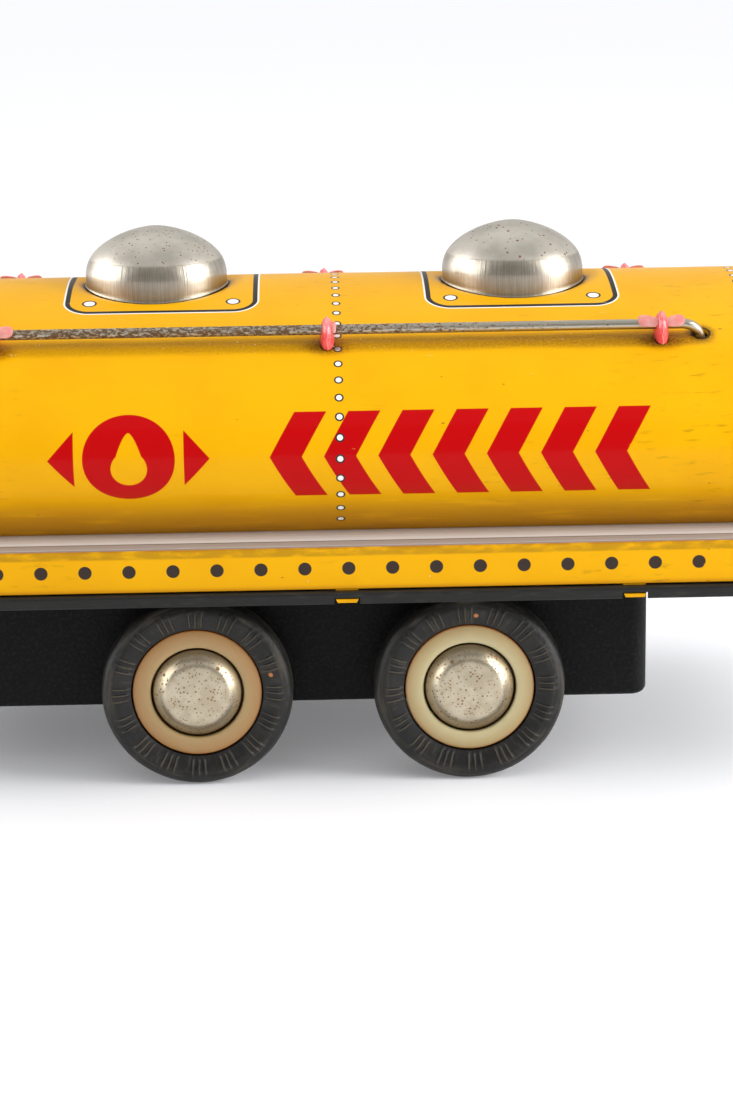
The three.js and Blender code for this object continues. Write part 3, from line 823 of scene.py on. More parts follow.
def satin_black(name):
    """Smooth black enamel, rubbed grey in places, with a few pale scratches."""
    paint = Paint(name, {"Specular IOR Level": 0.22})
    x, y, z = paint.place()
    place = paint.point(x, y, z)
    rubbed = paint.noise(paint.point(x / 5, y, z), 1.1, detail=5).rising(0.5, 0.75)
    colour = paint.mix(rubbed * 0.45, rgb(33, 33, 32), rgb(60, 59, 57))
    scratches = paint.specks(paint.point(x / 2, y, z), 2.4, 0.4, 0.1) * 0.6
    colour = paint.mix(scratches, colour, rgb(150, 146, 138))
    rough = paint.between(rubbed, 0.36, 0.55)
    normal = paint.bump(paint.noise(place, 0.9), 0.04)
    return paint.connect(base_color=colour, roughness=rough, normal=normal)


MARKED_RADIUS = 16                          # where marks round the tyre have their true length


def dusty_rubber():
    """Grey-black rubber with tan dust dragged round the shoulder and caught on the ribs."""
    paint = Paint("dusty_rubber", {"Specular IOR Level": 0.3})
    x, y, z = paint.wheel_place()
    radius = length(x, z)
    turn = z.math("ARCTAN2", x)
    around = turn * MARKED_RADIUS
    place = paint.point(x, y, z)
    radial = paint.noise(paint.point(around, radius / 7, y / 4), 0.9, detail=4)
    round_marks = paint.noise(paint.point(around / 9, radius, y), 0.8, detail=4)
    cloud = paint.noise(place, 6)
    shoulder = radius.rising(15.6, 17.2)
    on_wall = radial.rising(0.52, 0.72) * (1 - shoulder) * 0.55
    dust = on_wall.larger(round_marks.rising(0.45, 0.72) * shoulder * 0.8)
    dust = dust * cloud.rising(0.28, 0.6)
    in_group = (turn * (180 / math.pi) + 180).math("PINGPONG", 180 / RIB_GROUPS)
    nearest_rib = in_group.smaller(abs(in_group - RIB_SPACING))
    ribs = nearest_rib.falling(0.2, 0.7) * radius.rising(13.4, 13.9) * radius.falling(16.2, 17.2)
    dust = dust.larger(ribs * y.rising(-TYRE_WIDTH / 2, -TYRE_WIDTH / 3) * cloud.rising(0.2, 0.5))
    colour = paint.mix(cloud.rising(0.3, 0.7), rgb(24, 24, 24), rgb(34, 33, 31))
    colour = paint.mix(dust * 0.45, colour, rgb(110, 102, 86))
    colour = paint.mix(paint.specks(place, 5, 1.4, 0.06), colour, rgb(186, 118, 66))
    rough = paint.between(dust, 0.42, 0.8)
    bumps = paint.bump(paint.noise(place, 1.1, detail=5), 0.14)
    bumps = paint.bump(radial * (1 - shoulder), 0.1, bumps)
    return paint.connect(base_color=colour, roughness=rough, normal=bumps)


def aged_cream(name, inner, outer):
    """Cream moulding that has darkened towards its rim, with chips at the edge and painted shade in the
    recess behind the cap.
    """
    settings = {"Roughness": 0.36, "Subsurface Weight": 0.25, "Subsurface Scale": 0.002}
    paint = Paint(name, settings)
    x, y, z = paint.wheel_place()
    place = paint.point(x, y, z)
    radius = length(x, z)
    waver = paint.noise(place, 3) * 0.8 - 0.4
    colour = paint.mix((radius + waver).rising(9.2, 12.4), inner, outer)
    colour = paint.mix(radius.rising(12.3, 12.75), colour, rgb(176, 112, 48))
    # painted shade: the recess behind the cap is painted dark brown
    recess = y.falling(-2.2, -1.15) * radius.falling(9.2, 9.6)
    colour = paint.mix(recess, colour, rgb(92, 70, 34))
    chips = paint.specks(place, 2.4, 1.1, 0.3) * radius.rising(11.2, 12.3)
    colour = paint.mix(chips * 0.8, colour, rgb(232, 206, 170))
    colour = paint.mix(paint.specks(place, 2.2, 0.4, 0.08), colour, rgb(120, 84, 46))
    return paint.connect(base_color=colour, normal=paint.bump(paint.noise(place, 1.2), 0.05))


# ---------------------------------------------------------------- tank

def signed_power(value, power):
    """A power of the value's size, with the value's sign."""
    return math.copysign(abs(value) ** power, value)


def oval(angle):
    """A point (y, z) of the tank's section, by angle from the top."""
    y = TANK_HALF_WIDTH * signed_power(math.sin(angle), 2 / TANK_POWER)
    z = TANK_HALF_HEIGHT * signed_power(math.cos(angle), 2 / TANK_POWER)
    return Vector((y, TANK_CENTRE_Z + z))


def oval_normal(point):
    """The outward direction of the tank's section at a point (y, z)."""
    y, z = point.x, point.y - TANK_CENTRE_Z
    power = TANK_POWER - 1
    return Vector((signed_power(y / TANK_HALF_WIDTH, power) / TANK_HALF_WIDTH,
                   signed_power(z / TANK_HALF_HEIGHT, power) / TANK_HALF_HEIGHT)).normalized()


def tank_top_z(y):
    """The height of the tank's upper half at a distance from its middle."""
    across = abs(y / TANK_HALF_WIDTH) ** TANK_POWER
    return TANK_CENTRE_Z + TANK_HALF_HEIGHT * (1 - across) ** (1 / TANK_POWER)


CREASE_Z = tray_high.z + 0.03               # where the tank's sides meet the tray


def half_section(steps, samples=6000):
    """Even stations from the top line down the right side to the crease: (arc length, point)."""
    walked = [(0.0, oval(0))]
    for k in range(1, samples):
        point = oval(k / samples * math.pi)
        if point.y < CREASE_Z:
            break
        walked.append((walked[-1][0] + (point - walked[-1][1]).length, point))
    total = walked[-1][0]
    stations = []
    k = 0
    for step in range(steps + 1):
        while k < len(walked) - 1 and walked[k][0] < total * step / steps:
            k += 1
        stations.append(walked[k])
    return stations


def section(steps):
    """The whole section from the left crease over the top to the right crease: (signed arc, point)."""
    right = half_section(steps)
    left = [(-arc_length, Vector((-point.x, point.y))) for arc_length, point in right[:0:-1]]
    return left + right


RIPPLE = 0.07
SEAT_DEPTH = 1.1
SEAT_RADIUS = DOME_RADIUS + 0.5
SEAT_SLOPE = 2.6


def swell(x, y):
    """How far the tin stands off its ideal shape: slow ripples, and a sunk seat under each dome."""
    ripple = RIPPLE * noise.noise(Vector((x / 26, y / 17, 3.1)))
    seat = 0.0
    for dome_x in DOME_XS.values():
        rise = min(1.0, max(0.0, (math.hypot(x - dome_x, y) - SEAT_RADIUS) / SEAT_SLOPE))
        seat = min(seat, -SEAT_DEPTH * (1 - rise * rise * (3 - 2 * rise)))
    return ripple + seat


RAIL_FOOT = Vector((RAIL_FOOT_Y, tank_top_z(RAIL_FOOT_Y)))
FOOT_NORMAL = oval_normal(RAIL_FOOT)


def on_foot(x, side, along, across, out):
    """A point near the rail's foot: along the wagon, across the slope downwards, and out of the tank."""
    normal = Vector((side * FOOT_NORMAL.x, FOOT_NORMAL.y))
    downhill = Vector((side * FOOT_NORMAL.y, -FOOT_NORMAL.x))
    y, z = Vector((side * RAIL_FOOT.x, RAIL_FOOT.y)) + downhill * across + normal * out
    return Vector((x + along, y, z))


HOLE_REACH = 3                              # how far a hole's cutter goes in and out of the sheet
RIM_FADE = 6                                # length over which the ripples die out at each rim


def foot_peg(x, side, low, high, radius):
    """A peg square to the tank at the rail's foot line."""
    return on_foot(x, side, 0, 0, low), on_foot(x, side, 0, 0, high), radius


def tank_shell(material):
    """The tank's rolled sheet, open at its ends and under its sides' crease, with the rails' holes."""
    stations = section(90)
    steps = 160
    xs = [TANK_X + TANK_HALF_LENGTH * (2 * k / steps - 1) for k in range(steps + 1)]
    rings, uv = [], []
    for arc_length, point in stations:
        normal = oval_normal(point)
        outer, inner = [], []
        for x in xs:
            fade = min(1.0, (TANK_HALF_LENGTH - abs(x - TANK_X)) / RIM_FADE)
            off = swell(x, arc_length) * fade
            y, z = point + normal * off
            outer.append((x, y, z))
            y, z = point + normal * (off - SHEET)
            inner.append((x, y, max(z, CREASE_Z)))
        rings.append(outer + inner[::-1])
        uv += [(x - TANK_X, arc_length) for x in xs + xs[::-1]]
    shell = solid("tank_shell_look", *skin(rings), uv)
    holes = []
    for side in SIDES.values():
        for x in CLIP_XS.values():
            holes.append(foot_peg(x, side, -HOLE_REACH, HOLE_REACH, CLIP_STEM_RADIUS + GAP))
        for x in (RAIL_FRONT_X, RAIL_REAR_X):
            holes.append(foot_peg(x, side, -HOLE_REACH, HOLE_REACH, RAIL_RADIUS + 0.5))
    combine(shell, pegs("holes", holes, sides=24))
    return dress(shell, "wagon_body", [material], ["tank_shell"])


CAP_DEPTH = 4.3
CAP_DISH = 0.8
CAP_STEPS = 24
CAP_FLAT = 1.9                              # how far the cap's flat stands out from the rim
CAP_INSET = 2.2                             # from the tank's outside to the crown's edge
GROOVE_DEPTH = 0.45
GROOVE_SHARE = 0.84
BEAD_DROP = 0.7
BEAD_STEPS = 12
BEAD = 0.95                                 # half the width of the rolled bead at the tank's rim


def end_cap(end, side, material):
    """A pressed end: a rolled bead over the tank's rim, a narrow flat, a groove and a shallow crown."""
    rim = TANK_HALF_LENGTH + GAP
    profile = []
    for k in range(BEAD_STEPS + 1):
        angle = math.pi * (1 - k / BEAD_STEPS)
        profile.append((rim + BEAD + BEAD * math.cos(angle), 1, -BEAD_DROP * math.sin(angle)))
    profile += [(rim + CAP_FLAT, 1, inset) for inset in (0.6, 1.6)]
    for k in range(1, CAP_STEPS + 1):
        share = 1 - k / CAP_STEPS
        groove = GROOVE_DEPTH * math.exp(-((share - GROOVE_SHARE) / 0.025) ** 2)
        past = rim + CAP_FLAT + CAP_DEPTH * (1 - share ** 2) ** CAP_DISH - groove
        profile.append((past, share, CAP_INSET * share))
    inner = [(past - SHEET, scale, inset) for past, scale, inset in profile[:BEAD_STEPS:-1]]
    inner.append((rim, 1, CAP_INSET))
    stations = section(60)
    rings = []
    for past, scale, inset in inner + profile:
        ring = []
        for _, point in stations:
            y, z = point - oval_normal(point) * inset
            z = TANK_CENTRE_Z + (z - TANK_CENTRE_Z) * scale
            ring.append((TANK_X + side * past, y * scale, max(z, CREASE_Z)))
        rings.append(ring)
    cap = solid(f"{end}_end_cap_look", *skin(rings))
    return dress(cap, "wagon_body", [material], [f"{end}_end_cap"], angle=50)


CREASE_ANGLE = math.asin(CREASE_SHARE)
CROWN_STEPS = 28
CROWN_BULGE = 0.012
DOME_COLUMNS = 120
SEAT_CLEARANCE = 0.12
LIP = 0.2                                   # how far a dome's base edge turns out


def filler_dome(end, x, material):
    """A rounded nickel crown on an upright band, whose turned-out edge follows the tank."""
    crown_height = dome_high.z - DOME_SHOULDER_Z
    crown = []
    for k in range(CROWN_STEPS + 1):
        angle = CREASE_ANGLE + (math.pi / 2 - CREASE_ANGLE) * (1 - k / CROWN_STEPS)
        crown.append((math.cos(angle) ** DOME_FULLNESS, math.sin(angle)))
    crease, crease_height = crown[-1]
    for t in (0.06, 0.2, 0.4, 0.6, 0.8, 0.93):
        bulge = CROWN_BULGE * math.sin(math.pi * t)
        crown.append((crease + (1 - crease) * t + bulge, crease_height * (1 - t)))
    band = [(0, level) for level in (1.0, 0.75, 0.5, 0.25, 0.1)]
    band += [(LIP * 0.3, 0.05), (LIP * 0.9, 0.015), (LIP, 0)]
    angles = full_turn(DOME_COLUMNS)
    feet = [tank_top_z(DOME_RADIUS * math.sin(a)) - SEAT_DEPTH + SEAT_CLEARANCE for a in angles]

    def turned(radius, heights):
        return [(radius * math.cos(a), radius * math.sin(a), z) for a, z in zip(angles, heights)]

    def crown_ring(radius, share, rise):
        return turned(radius * share, [DOME_SHOULDER_Z + rise] * DOME_COLUMNS)

    rings = [crown_ring(DOME_RADIUS, share, crown_height * height) for share, height in crown]
    for out, level in band:
        rings.append(turned(DOME_RADIUS + out, [foot + (DOME_SHOULDER_Z - foot) * level for foot in feet]))
    inner_radius = DOME_RADIUS - SHEET
    inner_height = crown_height - SHEET
    rings.append(turned(inner_radius, feet))
    rings += [crown_ring(inner_radius, share, inner_height * height) for share, height in crown[::-1]]
    dome = solid(f"{end}_filler_dome_look", *skin(rings))
    dome.location = (x * MM, 0, 0)
    return dress(dome, "wagon_body", [material], [f"{end}_filler_dome"])


# ---------------------------------------------------------------- handrails and clips

RAIL_LEG_END = -6                           # how deep the legs end inside the tank
RAIL_COLUMNS = 24


def handrail(side_name, side, material):
    """Straight wire with rounded bends, whose legs lean in square to the tank."""
    bend = RAIL_HEIGHT - RAIL_BEND
    line = [(RAIL_FRONT_X, RAIL_LEG_END), (RAIL_FRONT_X, bend - 1)]
    line += arc((RAIL_FRONT_X + RAIL_BEND, bend), RAIL_BEND, 180, 90, 12)
    line += [(RAIL_FRONT_X + (RAIL_REAR_X - RAIL_FRONT_X) * k / 30, RAIL_HEIGHT) for k in range(2, 29)]
    line += arc((RAIL_REAR_X - RAIL_BEND, bend), RAIL_BEND, 90, 0, 12)
    line += [(RAIL_REAR_X, bend - 1), (RAIL_REAR_X, RAIL_LEG_END)]
    rings = []
    for k, (x, out) in enumerate(line):
        before, after = Vector(line[max(k - 1, 0)]), Vector(line[min(k + 1, len(line) - 1)])
        ahead = (after - before).normalized()
        ring = []
        for angle in full_turn(RAIL_COLUMNS):
            off = RAIL_RADIUS * math.cos(angle)
            across = RAIL_RADIUS * math.sin(angle)
            ring.append(on_foot(x, side, -ahead.y * off, across, out + ahead.x * off))
        rings.append(ring)
    rail = solid(f"{side_name}_handrail_look", *skin(rings))
    return dress(rail, "wagon_body", [material], [f"{side_name}_handrail"])


CLIP_ROWS = 48
CLIP_COLUMNS = 64
SEAM_HEIGHT = 0.16
SEAM_HALF_WIDTH = 0.14
DENT_DEPTH = 0.12                           # shallow hollow on each side of the seam
DENT_PLACE = 0.42
DENT_HALF_WIDTH = 0.2
CLIP_CLEARANCE = 0.12


def clip_almond(name, side, x):
    """The clip's closed body, before the tank and the rail are cut out of it."""
    half = CLIP_HALF_SIZE
    rings, uv = [], []
    for row in range(1, CLIP_ROWS):
        tilt = math.pi * row / CLIP_ROWS
        ring = []
        for turn in full_turn(CLIP_COLUMNS):
            along = math.cos(tilt)
            across = math.sin(tilt) * math.cos(turn)
            out = math.sin(tilt) * math.sin(turn)
            # straight-sided, with a point at the uphill end and a little narrower downhill
            width = half.x * (0.92 - 0.08 * across) * (1 - 1.1 * max(0.0, -across - 0.72))
            sideways = signed_power(along, 0.85) * width
            wobble = 0.12 * math.sin(turn * 11) + 0.05 * math.sin(turn * 23)
            seam = SEAM_HEIGHT * math.exp(-((sideways - wobble) / SEAM_HALF_WIDTH) ** 2)
            from_dent = (abs(sideways - wobble) - DENT_PLACE) / DENT_HALF_WIDTH
            grown = 1 + (seam - DENT_DEPTH * math.exp(-from_dent ** 2)) / half.z
            ring.append(on_foot(x, side, sideways, across * half.y * grown, out * half.z * grown))
            uv.append((sideways - wobble, across))
        rings.append(ring)
    return solid(name, *skin(rings), uv)


def rail_clip(side_name, place, side, x, wing_reaches, body_material, wing_material):
    """An almond-shaped bridge over the rail with a wavy mould seam, a stem, and a thin wing each way."""
    node = f"{side_name}_{place}_rail_clip"
    clip = clip_almond(f"{node}_look", side, x)
    corners = ((-4, -6), (4, -6), (4, 6), (-4, 6))
    below = [[on_foot(x, side, along, across, out) for along, across in corners]
             for out in (CLIP_CLEARANCE, CLIP_CLEARANCE - GAP - 6)]
    combine(clip, solid("below", *skin(below)))
    rail_ends = [(end_x, side * RAIL_Y, RAIL_Z) for end_x in (x - 5, x + 5)]
    combine(clip, pegs("tunnel", [(*rail_ends, RAIL_RADIUS + CLIP_CLEARANCE)]))
    combine(clip, pegs("stem", [foot_peg(x, side, -2.4, 0.8, CLIP_STEM_RADIUS)]), "UNION")
    wings = clip_wings(side_name, place, side, x, wing_reaches)
    dress(wings, "wagon_body", [wing_material], angle=50)
    return dress(clip, "wagon_body", [body_material], [node], angle=50)


WING_REACHES = (4.8, 4.4)                   # from the clip's middle to the front and the rear tip
BROKEN_WING_REACHES = (0.9, 1.75)
WING_HALF_HEIGHT = 1.35
WING_THICKNESS = 0.45
WING_TILT = 30                              # degrees that the wings lean over the rail's outer side
WING_ROOT = 0.7
WING_RISE = 0.1                             # how fast a wing climbs towards its tip
WING_SOFTNESS = 0.25                        # rounding of a wing's edge
WING_SQUARENESS = 0.75
WING_COLUMNS = 40


def clip_wings(side_name, place, side, x, reaches):
    """Two rounded leaves that lie against the outer side of the rail."""
    lean = math.atan2(FOOT_NORMAL.x, FOOT_NORMAL.y) + math.radians(WING_TILT)
    out = Vector((side * math.sin(lean), math.cos(lean)))
    downhill = Vector((side * math.cos(lean), -math.sin(lean)))
    levels = ((0, WING_SOFTNESS), (0.12, 0), (0.33, 0), (WING_THICKNESS, WING_SOFTNESS))
    skins = []
    for way, reach in zip((-1, 1), reaches):
        middle = (WING_ROOT + reach) / 2
        rings = []
        for level, shrink in levels:
            ring = []
            for angle in full_turn(WING_COLUMNS):
                tip = signed_power(math.cos(angle), WING_SQUARENESS)
                leaf = signed_power(math.sin(angle), WING_SQUARENESS)
                along = middle + (middle - WING_ROOT - shrink) * tip
                # a wing is a little narrower at its root
                fullness = 0.78 + 0.22 * (along - WING_ROOT) / (reach - WING_ROOT)
                across = (WING_HALF_HEIGHT - shrink) * leaf * fullness + 0.25 - WING_RISE * along
                off = out * (RAIL_RADIUS + 0.15 + level) + downhill * across
                ring.append((x + way * along, side * RAIL_Y + off.x, RAIL_Z + off.y))
            rings.append(ring)
        skins.append(skin(rings))
    return solid_of(f"{side_name}_{place}_clip_wings", skins)


# ---------------------------------------------------------------- tray, base plate and undercarriage

def rounded_edge(radius, top, steps):
    """Profile points (inset, height) round an outer upper edge, from the side to the top."""
    low = top - radius
    return [(radius - radius * math.cos(a), low + radius * math.sin(a)) for a in quarter_turn(steps)]


def skirt_tray(material):
    """An inverted tray with rounded upper edges; its flat top shows as the ledge round the tank."""
    sides = (tray_low.x, tray_high.x, TRAY_HALF_WIDTH, TRAY_CORNER)
    top = tray_high.z
    edge = 0.3
    profile = [(SHEET + 0.6, top - SHEET), (SHEET, top - SHEET - 0.6), (SHEET, TRAY_BOTTOM_Z + 0.15)]
    profile += [(SHEET / 2 + 0.25, TRAY_BOTTOM_Z), (0.15, TRAY_BOTTOM_Z), (0, TRAY_BOTTOM_Z + 0.15)]
    profile += [(0, TRAY_BOTTOM_Z + 2 + k) for k in range(6)]
    profile += rounded_edge(edge, top, 8)
    profile += [(edge + 1, top), (edge + 4, top)]
    rings = [plan(*sides, inset, z, steps=16) for inset, z in profile]
    tray = solid("skirt_tray_look", *skin(rings))
    return dress(tray, "wagon_body", [material], ["skirt_tray"])


def folded_tab(k, side_name, side, x, material):
    """A tin tab that comes down inside the skirt and is turned out under the black lip."""
    bottom = plate_low.z + GAP
    top = TRAY_BOTTOM_Z + 0.5
    inner = TRAY_HALF_WIDTH - TAB_THICKNESS
    leg = TRAY_HALF_WIDTH - 0.3
    outer = TRAY_HALF_WIDTH + 1.3
    outline = [(inner, top), (inner, bottom), (outer, bottom), (outer, bottom + TAB_THICKNESS),
               (leg, bottom + TAB_THICKNESS), (leg, top)]
    rings = []
    for way in (-1, 1):
        ring = []
        for y, z in outline:
            # the turned-out foot is a little narrower along its lower edge
            half = TAB_WIDTH / 2 - (TAB_TAPER if z == bottom else 0)
            ring.append((x + way * half, side * y, z))
        rings.append(ring)
    tab = solid(f"{side_name}_tab_{k}", *skin(rings))
    return dress(tab, "wagon_body", [material], angle=50)


def base_plate(material):
    """Black plate with a turned-down lip, notched for the tray's tabs."""
    sides = (plate_low.x, plate_high.x, plate_high.y, PLATE_CORNER)
    top, bottom = plate_high.z, plate_low.z
    edge = 0.6
    profile = [(SHEET, top - SHEET), (SHEET, bottom + 0.1), (SHEET - 0.15, bottom)]
    profile += [(0.2, bottom), (0, bottom + 0.25)]
    profile += rounded_edge(edge, top, 6)
    rings = [plan(*sides, inset, z, steps=16) for inset, z in profile]
    plate = solid("base_plate_look", *skin(rings))
    half = TAB_WIDTH / 2 + GAP
    notch_top = bottom + 2 * GAP + TAB_THICKNESS
    for x in TAB_XS:
        for side in SIDES.values():
            near, far = sorted((side * TRAY_HALF_WIDTH, side * (plate_high.y + 1)))
            combine(plate, blocks("notch", [((x - half, near, bottom - 1), (x + half, far, notch_top))]))
    return dress(plate, "wagon_body", [material], ["base_plate"])


LUG_XS = [TANK_X + x for x in (-60, 36)]
LUG_WIDTH = 6


def undercarriage(material):
    """The open trough that carries the axles, with its lugs up through the base plate."""
    sides = (trough_low.x, trough_high.x, trough_high.y, TROUGH_CORNER)
    bottom = trough_low.z
    edge = 1.6
    profile = [(SHEET, TROUGH_TOP_Z), (SHEET, bottom + edge), (edge, bottom + SHEET)]
    outside = [(edge - edge * math.sin(a), bottom + edge - edge * math.cos(a)) for a in quarter_turn(8)]
    outside += [(0, bottom + edge + (TROUGH_TOP_Z - bottom - edge) * k / 6) for k in range(1, 7)]
    inner_rings = [plan(*sides, inset, z, steps=12) for inset, z in profile]
    outer_rings = [plan(*sides, inset, z, steps=12) for inset, z in outside]
    # the floor is closed once inside and once outside, and the rim joins the two walls
    trough = solid("undercarriage_look", *skin(inner_rings[::-1] + outer_rings[::-1]))
    past = trough_high.y + 1
    holes = []
    for x in AXLE_XS.values():
        holes.append(((x, -past, WHEEL_RADIUS), (x, past, WHEEL_RADIUS), AXLE_RADIUS + GAP))
    holes.append(((pivot.x, pivot.y, bottom - 2), (pivot.x, pivot.y, bottom + 3), RIVET_RADIUS + GAP))
    combine(trough, pegs("holes", holes))
    lugs = []
    for x in LUG_XS:
        for side in SIDES.values():
            near, far = sorted((side * (trough_high.y - SHEET), side * trough_high.y))
            low_corner = (x - LUG_WIDTH / 2, near, TROUGH_TOP_Z - 0.5)
            lugs.append((low_corner, (x + LUG_WIDTH / 2, far, trough_high.z)))
    combine(trough, blocks("lugs", lugs), "UNION")
    return dress(trough, "wagon_body", [material], ["undercarriage"])


# ---------------------------------------------------------------- wheelsets

RIB_GROUPS = 16
RIB_SPACING = 4.6                           # degrees between the ribs of a group
RIB_HEIGHT = 0.26
RIB_SHAPE = ((-1.1, 0), (-0.45, 1), (0.45, 1), (1.1, 0))    # degrees off its middle, share of its height
RIB_FROM = TYRE_BORE + 0.2
RIB_TO = 17.4
TYRE_LUMPS = 0.1


def tyre_angles():
    """Columns round the tyre as (angle, height of rib there), dense where a rib needs them."""
    columns = []
    group_turn = 360 / RIB_GROUPS
    for group in range(RIB_GROUPS):
        middle = group * group_turn
        for rib in (-1, 0, 1):
            centre = middle + rib * RIB_SPACING
            columns += [(centre + offset, height) for offset, height in RIB_SHAPE]
        gap = group_turn - 2 * RIB_SPACING
        columns += [(middle + RIB_SPACING + gap * k / 5, 0) for k in range(1, 5)]
    return [(math.radians(angle), height) for angle, height in columns]


def tyre_mesh():
    """Balloon tyre with groups of three fine ribs from the disc to the shoulder."""
    side_wall = [(TYRE_BORE, -1.1), (TYRE_BORE + 1.4, -0.5), (16.2, 0)]
    side_wall += [(17.8, -0.5), (18.7, -1.5), (19, -2.9)]
    tread = [(WHEEL_RADIUS, -TYRE_WIDTH / 2)]
    control = side_wall + tread + [(r, -TYRE_WIDTH - y) for r, y in side_wall[::-1]]
    profile = smooth_line(control, 4)
    columns = tyre_angles()
    rings = []
    for r, y in profile:
        rise = 0.0
        if y > -TYRE_WIDTH / 2 and RIB_FROM < r < RIB_TO:
            share = (r - RIB_FROM) / (RIB_TO - RIB_FROM)
            rise = RIB_HEIGHT * math.sin(math.pi * share) ** 0.6
        ring = []
        for angle, height in columns:
            spot = Vector((3 * math.cos(angle), 3 * math.sin(angle), r * 0.4 + y * 0.3))
            reach = r + TYRE_LUMPS * noise.noise(spot) * (r - TYRE_BORE) / 6
            ring.append((reach * math.cos(angle), y + rise * height, reach * math.sin(angle)))
        rings.append(ring)
    return skin(rings, looped=True)


def disc_mesh():
    """Moulded disc with softened edges, a recess for the cap and a hub on the inside."""
    edge = TYRE_BORE - GAP
    bore = AXLE_RADIUS + GAP
    hub_end = trough_high.y + 2 * GAP - TYRE_FACE_Y
    hub = [(bore, hub_end), (3.3, hub_end), (3.6, hub_end + 0.3), (3.6, -6.9)]
    back = [(3.9, -6.6), (edge - 0.4, -6.6), (edge, -6.2)]
    rim = [(edge, -1.75), (edge - 0.08, -1.45), (edge - 0.35, -1.28)]
    face = [(11.6, -1.08), (10.4, -0.98), (9.75, -0.98), (9.4, -1.08)]
    recess = [(9.22, -1.35), (9.2, -1.8), (9.2, -4), (9, -4.2), (bore, -4.2)]
    profile = hub + back + rim + face + recess
    return skin(lathe(profile, 120), looped=True)


def cap_mesh():
    """Pressed cap: a flat rim, a steep round shoulder and a shallow crown."""
    outside = [(8.82, -1.8), (8.7, -1.62), (8.2, -1.36), (7.5, -0.92), (6.9, -0.4), (6.4, -0.02)]
    outside += [(5.9, 0.2), (5.3, 0.3), (4.2, 0.4), (2.8, 0.54), (1.4, 0.64), (0, 0.68)]
    inside_face = [(0, 0.2), (3, 0.06), (5, -0.16), (6.2, -0.5), (7, -1.1), (8.4, -2.05), (8.82, -1.98)]
    return skin(lathe(smooth_line(outside, 3) + smooth_line(inside_face, 2), 112))


def axle_mesh(half_length):
    """Plain round axle with chamfered ends."""
    chamfer = 0.3
    end = -half_length
    near_end = [(0, end), (AXLE_RADIUS - chamfer, end), (AXLE_RADIUS, end + chamfer)]
    return skin(lathe(near_end + [(r, -y) for r, y in near_end[::-1]], 40))


def wheel_piece(name, mesh, end, side, turn, material, slot):
    """One turned piece on its axle, outer side outwards, rolled by its own angle."""
    node = name.removesuffix("_look")
    points, faces = mesh
    roll = Matrix.Rotation(math.radians(turn), 3, "Y")
    obj = solid(name, [roll @ Vector(p) for p in points], faces, [(p[0], p[2]) for p in points])
    outwards = Matrix.Rotation(0 if side > 0 else math.pi, 4, "Z")
    centre = Vector((AXLE_XS[end], side * TYRE_FACE_Y, WHEEL_RADIUS))
    obj.matrix_world = Matrix.Translation(centre * MM) @ outwards
    return dress(obj, f"{end}_wheelset", [material], [node])


def wheelsets(rubber, creams, nickel, steel):
    """Both axles with their tyres, discs and hubcaps."""
    meshes = {"tyre": tyre_mesh(), "wheel_disc": disc_mesh(), "hubcap": cap_mesh()}
    for set_number, end in enumerate(AXLE_XS):
        finishes = {
            "tyre": (rubber, "tyre_rubber"),
            "wheel_disc": (creams[end], "cream_plastic"),
            "hubcap": (nickel, "nickel"),
        }
        for side_name, side in SIDES.items():
            for kind, mesh in meshes.items():
                # each wheel has come to rest at an angle of its own
                turn = 71 * set_number + 133 * (side > 0) + (37 if kind == "hubcap" else 0)
                wheel_piece(f"{side_name}_{end}_{kind}_look", mesh, end, side, turn, *finishes[kind])
        low, high = box_mm(f"{end}_axle")
        axle = solid(f"{end}_axle_look", *axle_mesh((high.y - low.y) / 2))
        axle.location = Vector((AXLE_XS[end], 0, WHEEL_RADIUS)) * MM
        dress(axle, f"{end}_wheelset", [steel], [f"{end}_axle"])


# ---------------------------------------------------------------- drawbar

def drawbar(material):
    """Flat strip with rounded, softened edges, a rivet hole and a coupling eye."""
    shoulder = math.degrees(math.asin(DRAWBAR_HALF_WIDTH / EYE_RADIUS))
    edge = 0.25
    low, high = bar_low.z, bar_high.z
    rings = []
    for inset, z in ((edge, low), (0, low + edge), (0, high - edge), (edge, high)):
        outline = arc((pivot.x, 0), DRAWBAR_HALF_WIDTH - inset, -90, 90, 24)
        outline += arc((EYE_X, 0), EYE_RADIUS - inset, shoulder, 360 - shoulder, 60)
        rings.append([(x, y, z) for x, y in outline])
    bar = solid("drawbar_look", *skin(rings))
    places = ((pivot.x, RIVET_RADIUS + GAP), (EYE_X, EYE_HOLE))
    holes = [((x, 0, low - 5), (x, 0, high + 5), radius) for x, radius in places]
    combine(bar, pegs("holes", holes, sides=48))
    return dress(bar, "drawbar_arm", [material], ["drawbar"])


def drawbar_rivet(material):
    """Headed pin under the undercarriage, with a domed head below and a clinched one inside."""
    low, high = box_mm("drawbar_rivet")
    head = 1.0
    lower, upper = low.z + head, high.z - head
    profile = [(RIVET_HEAD * math.sin(a), lower - head * math.cos(a)) for a in quarter_turn(10)]
    profile += [(RIVET_RADIUS, lower), (RIVET_RADIUS, upper)]
    profile += [(CLINCHED_HEAD * math.cos(a), upper + head * math.sin(a)) for a in quarter_turn(10)]
    rings = [[(x, -z, y) for x, y, z in ring] for ring in lathe(profile, 48)]
    rivet = solid("drawbar_rivet_look", *skin(rings))
    rivet.location = Vector((pivot.x, pivot.y, 0)) * MM
    return dress(rivet, "wagon_body", [material], ["drawbar_rivet"])


# ---------------------------------------------------------------- camera, floor and light

CAMERA_PLACE = (8.28, -574.08, 183.4)
CAMERA_YAW, CAMERA_TILT, CAMERA_ROLL = -1.22, 75.64, -0.8
CAMERA_LENS = 91.64


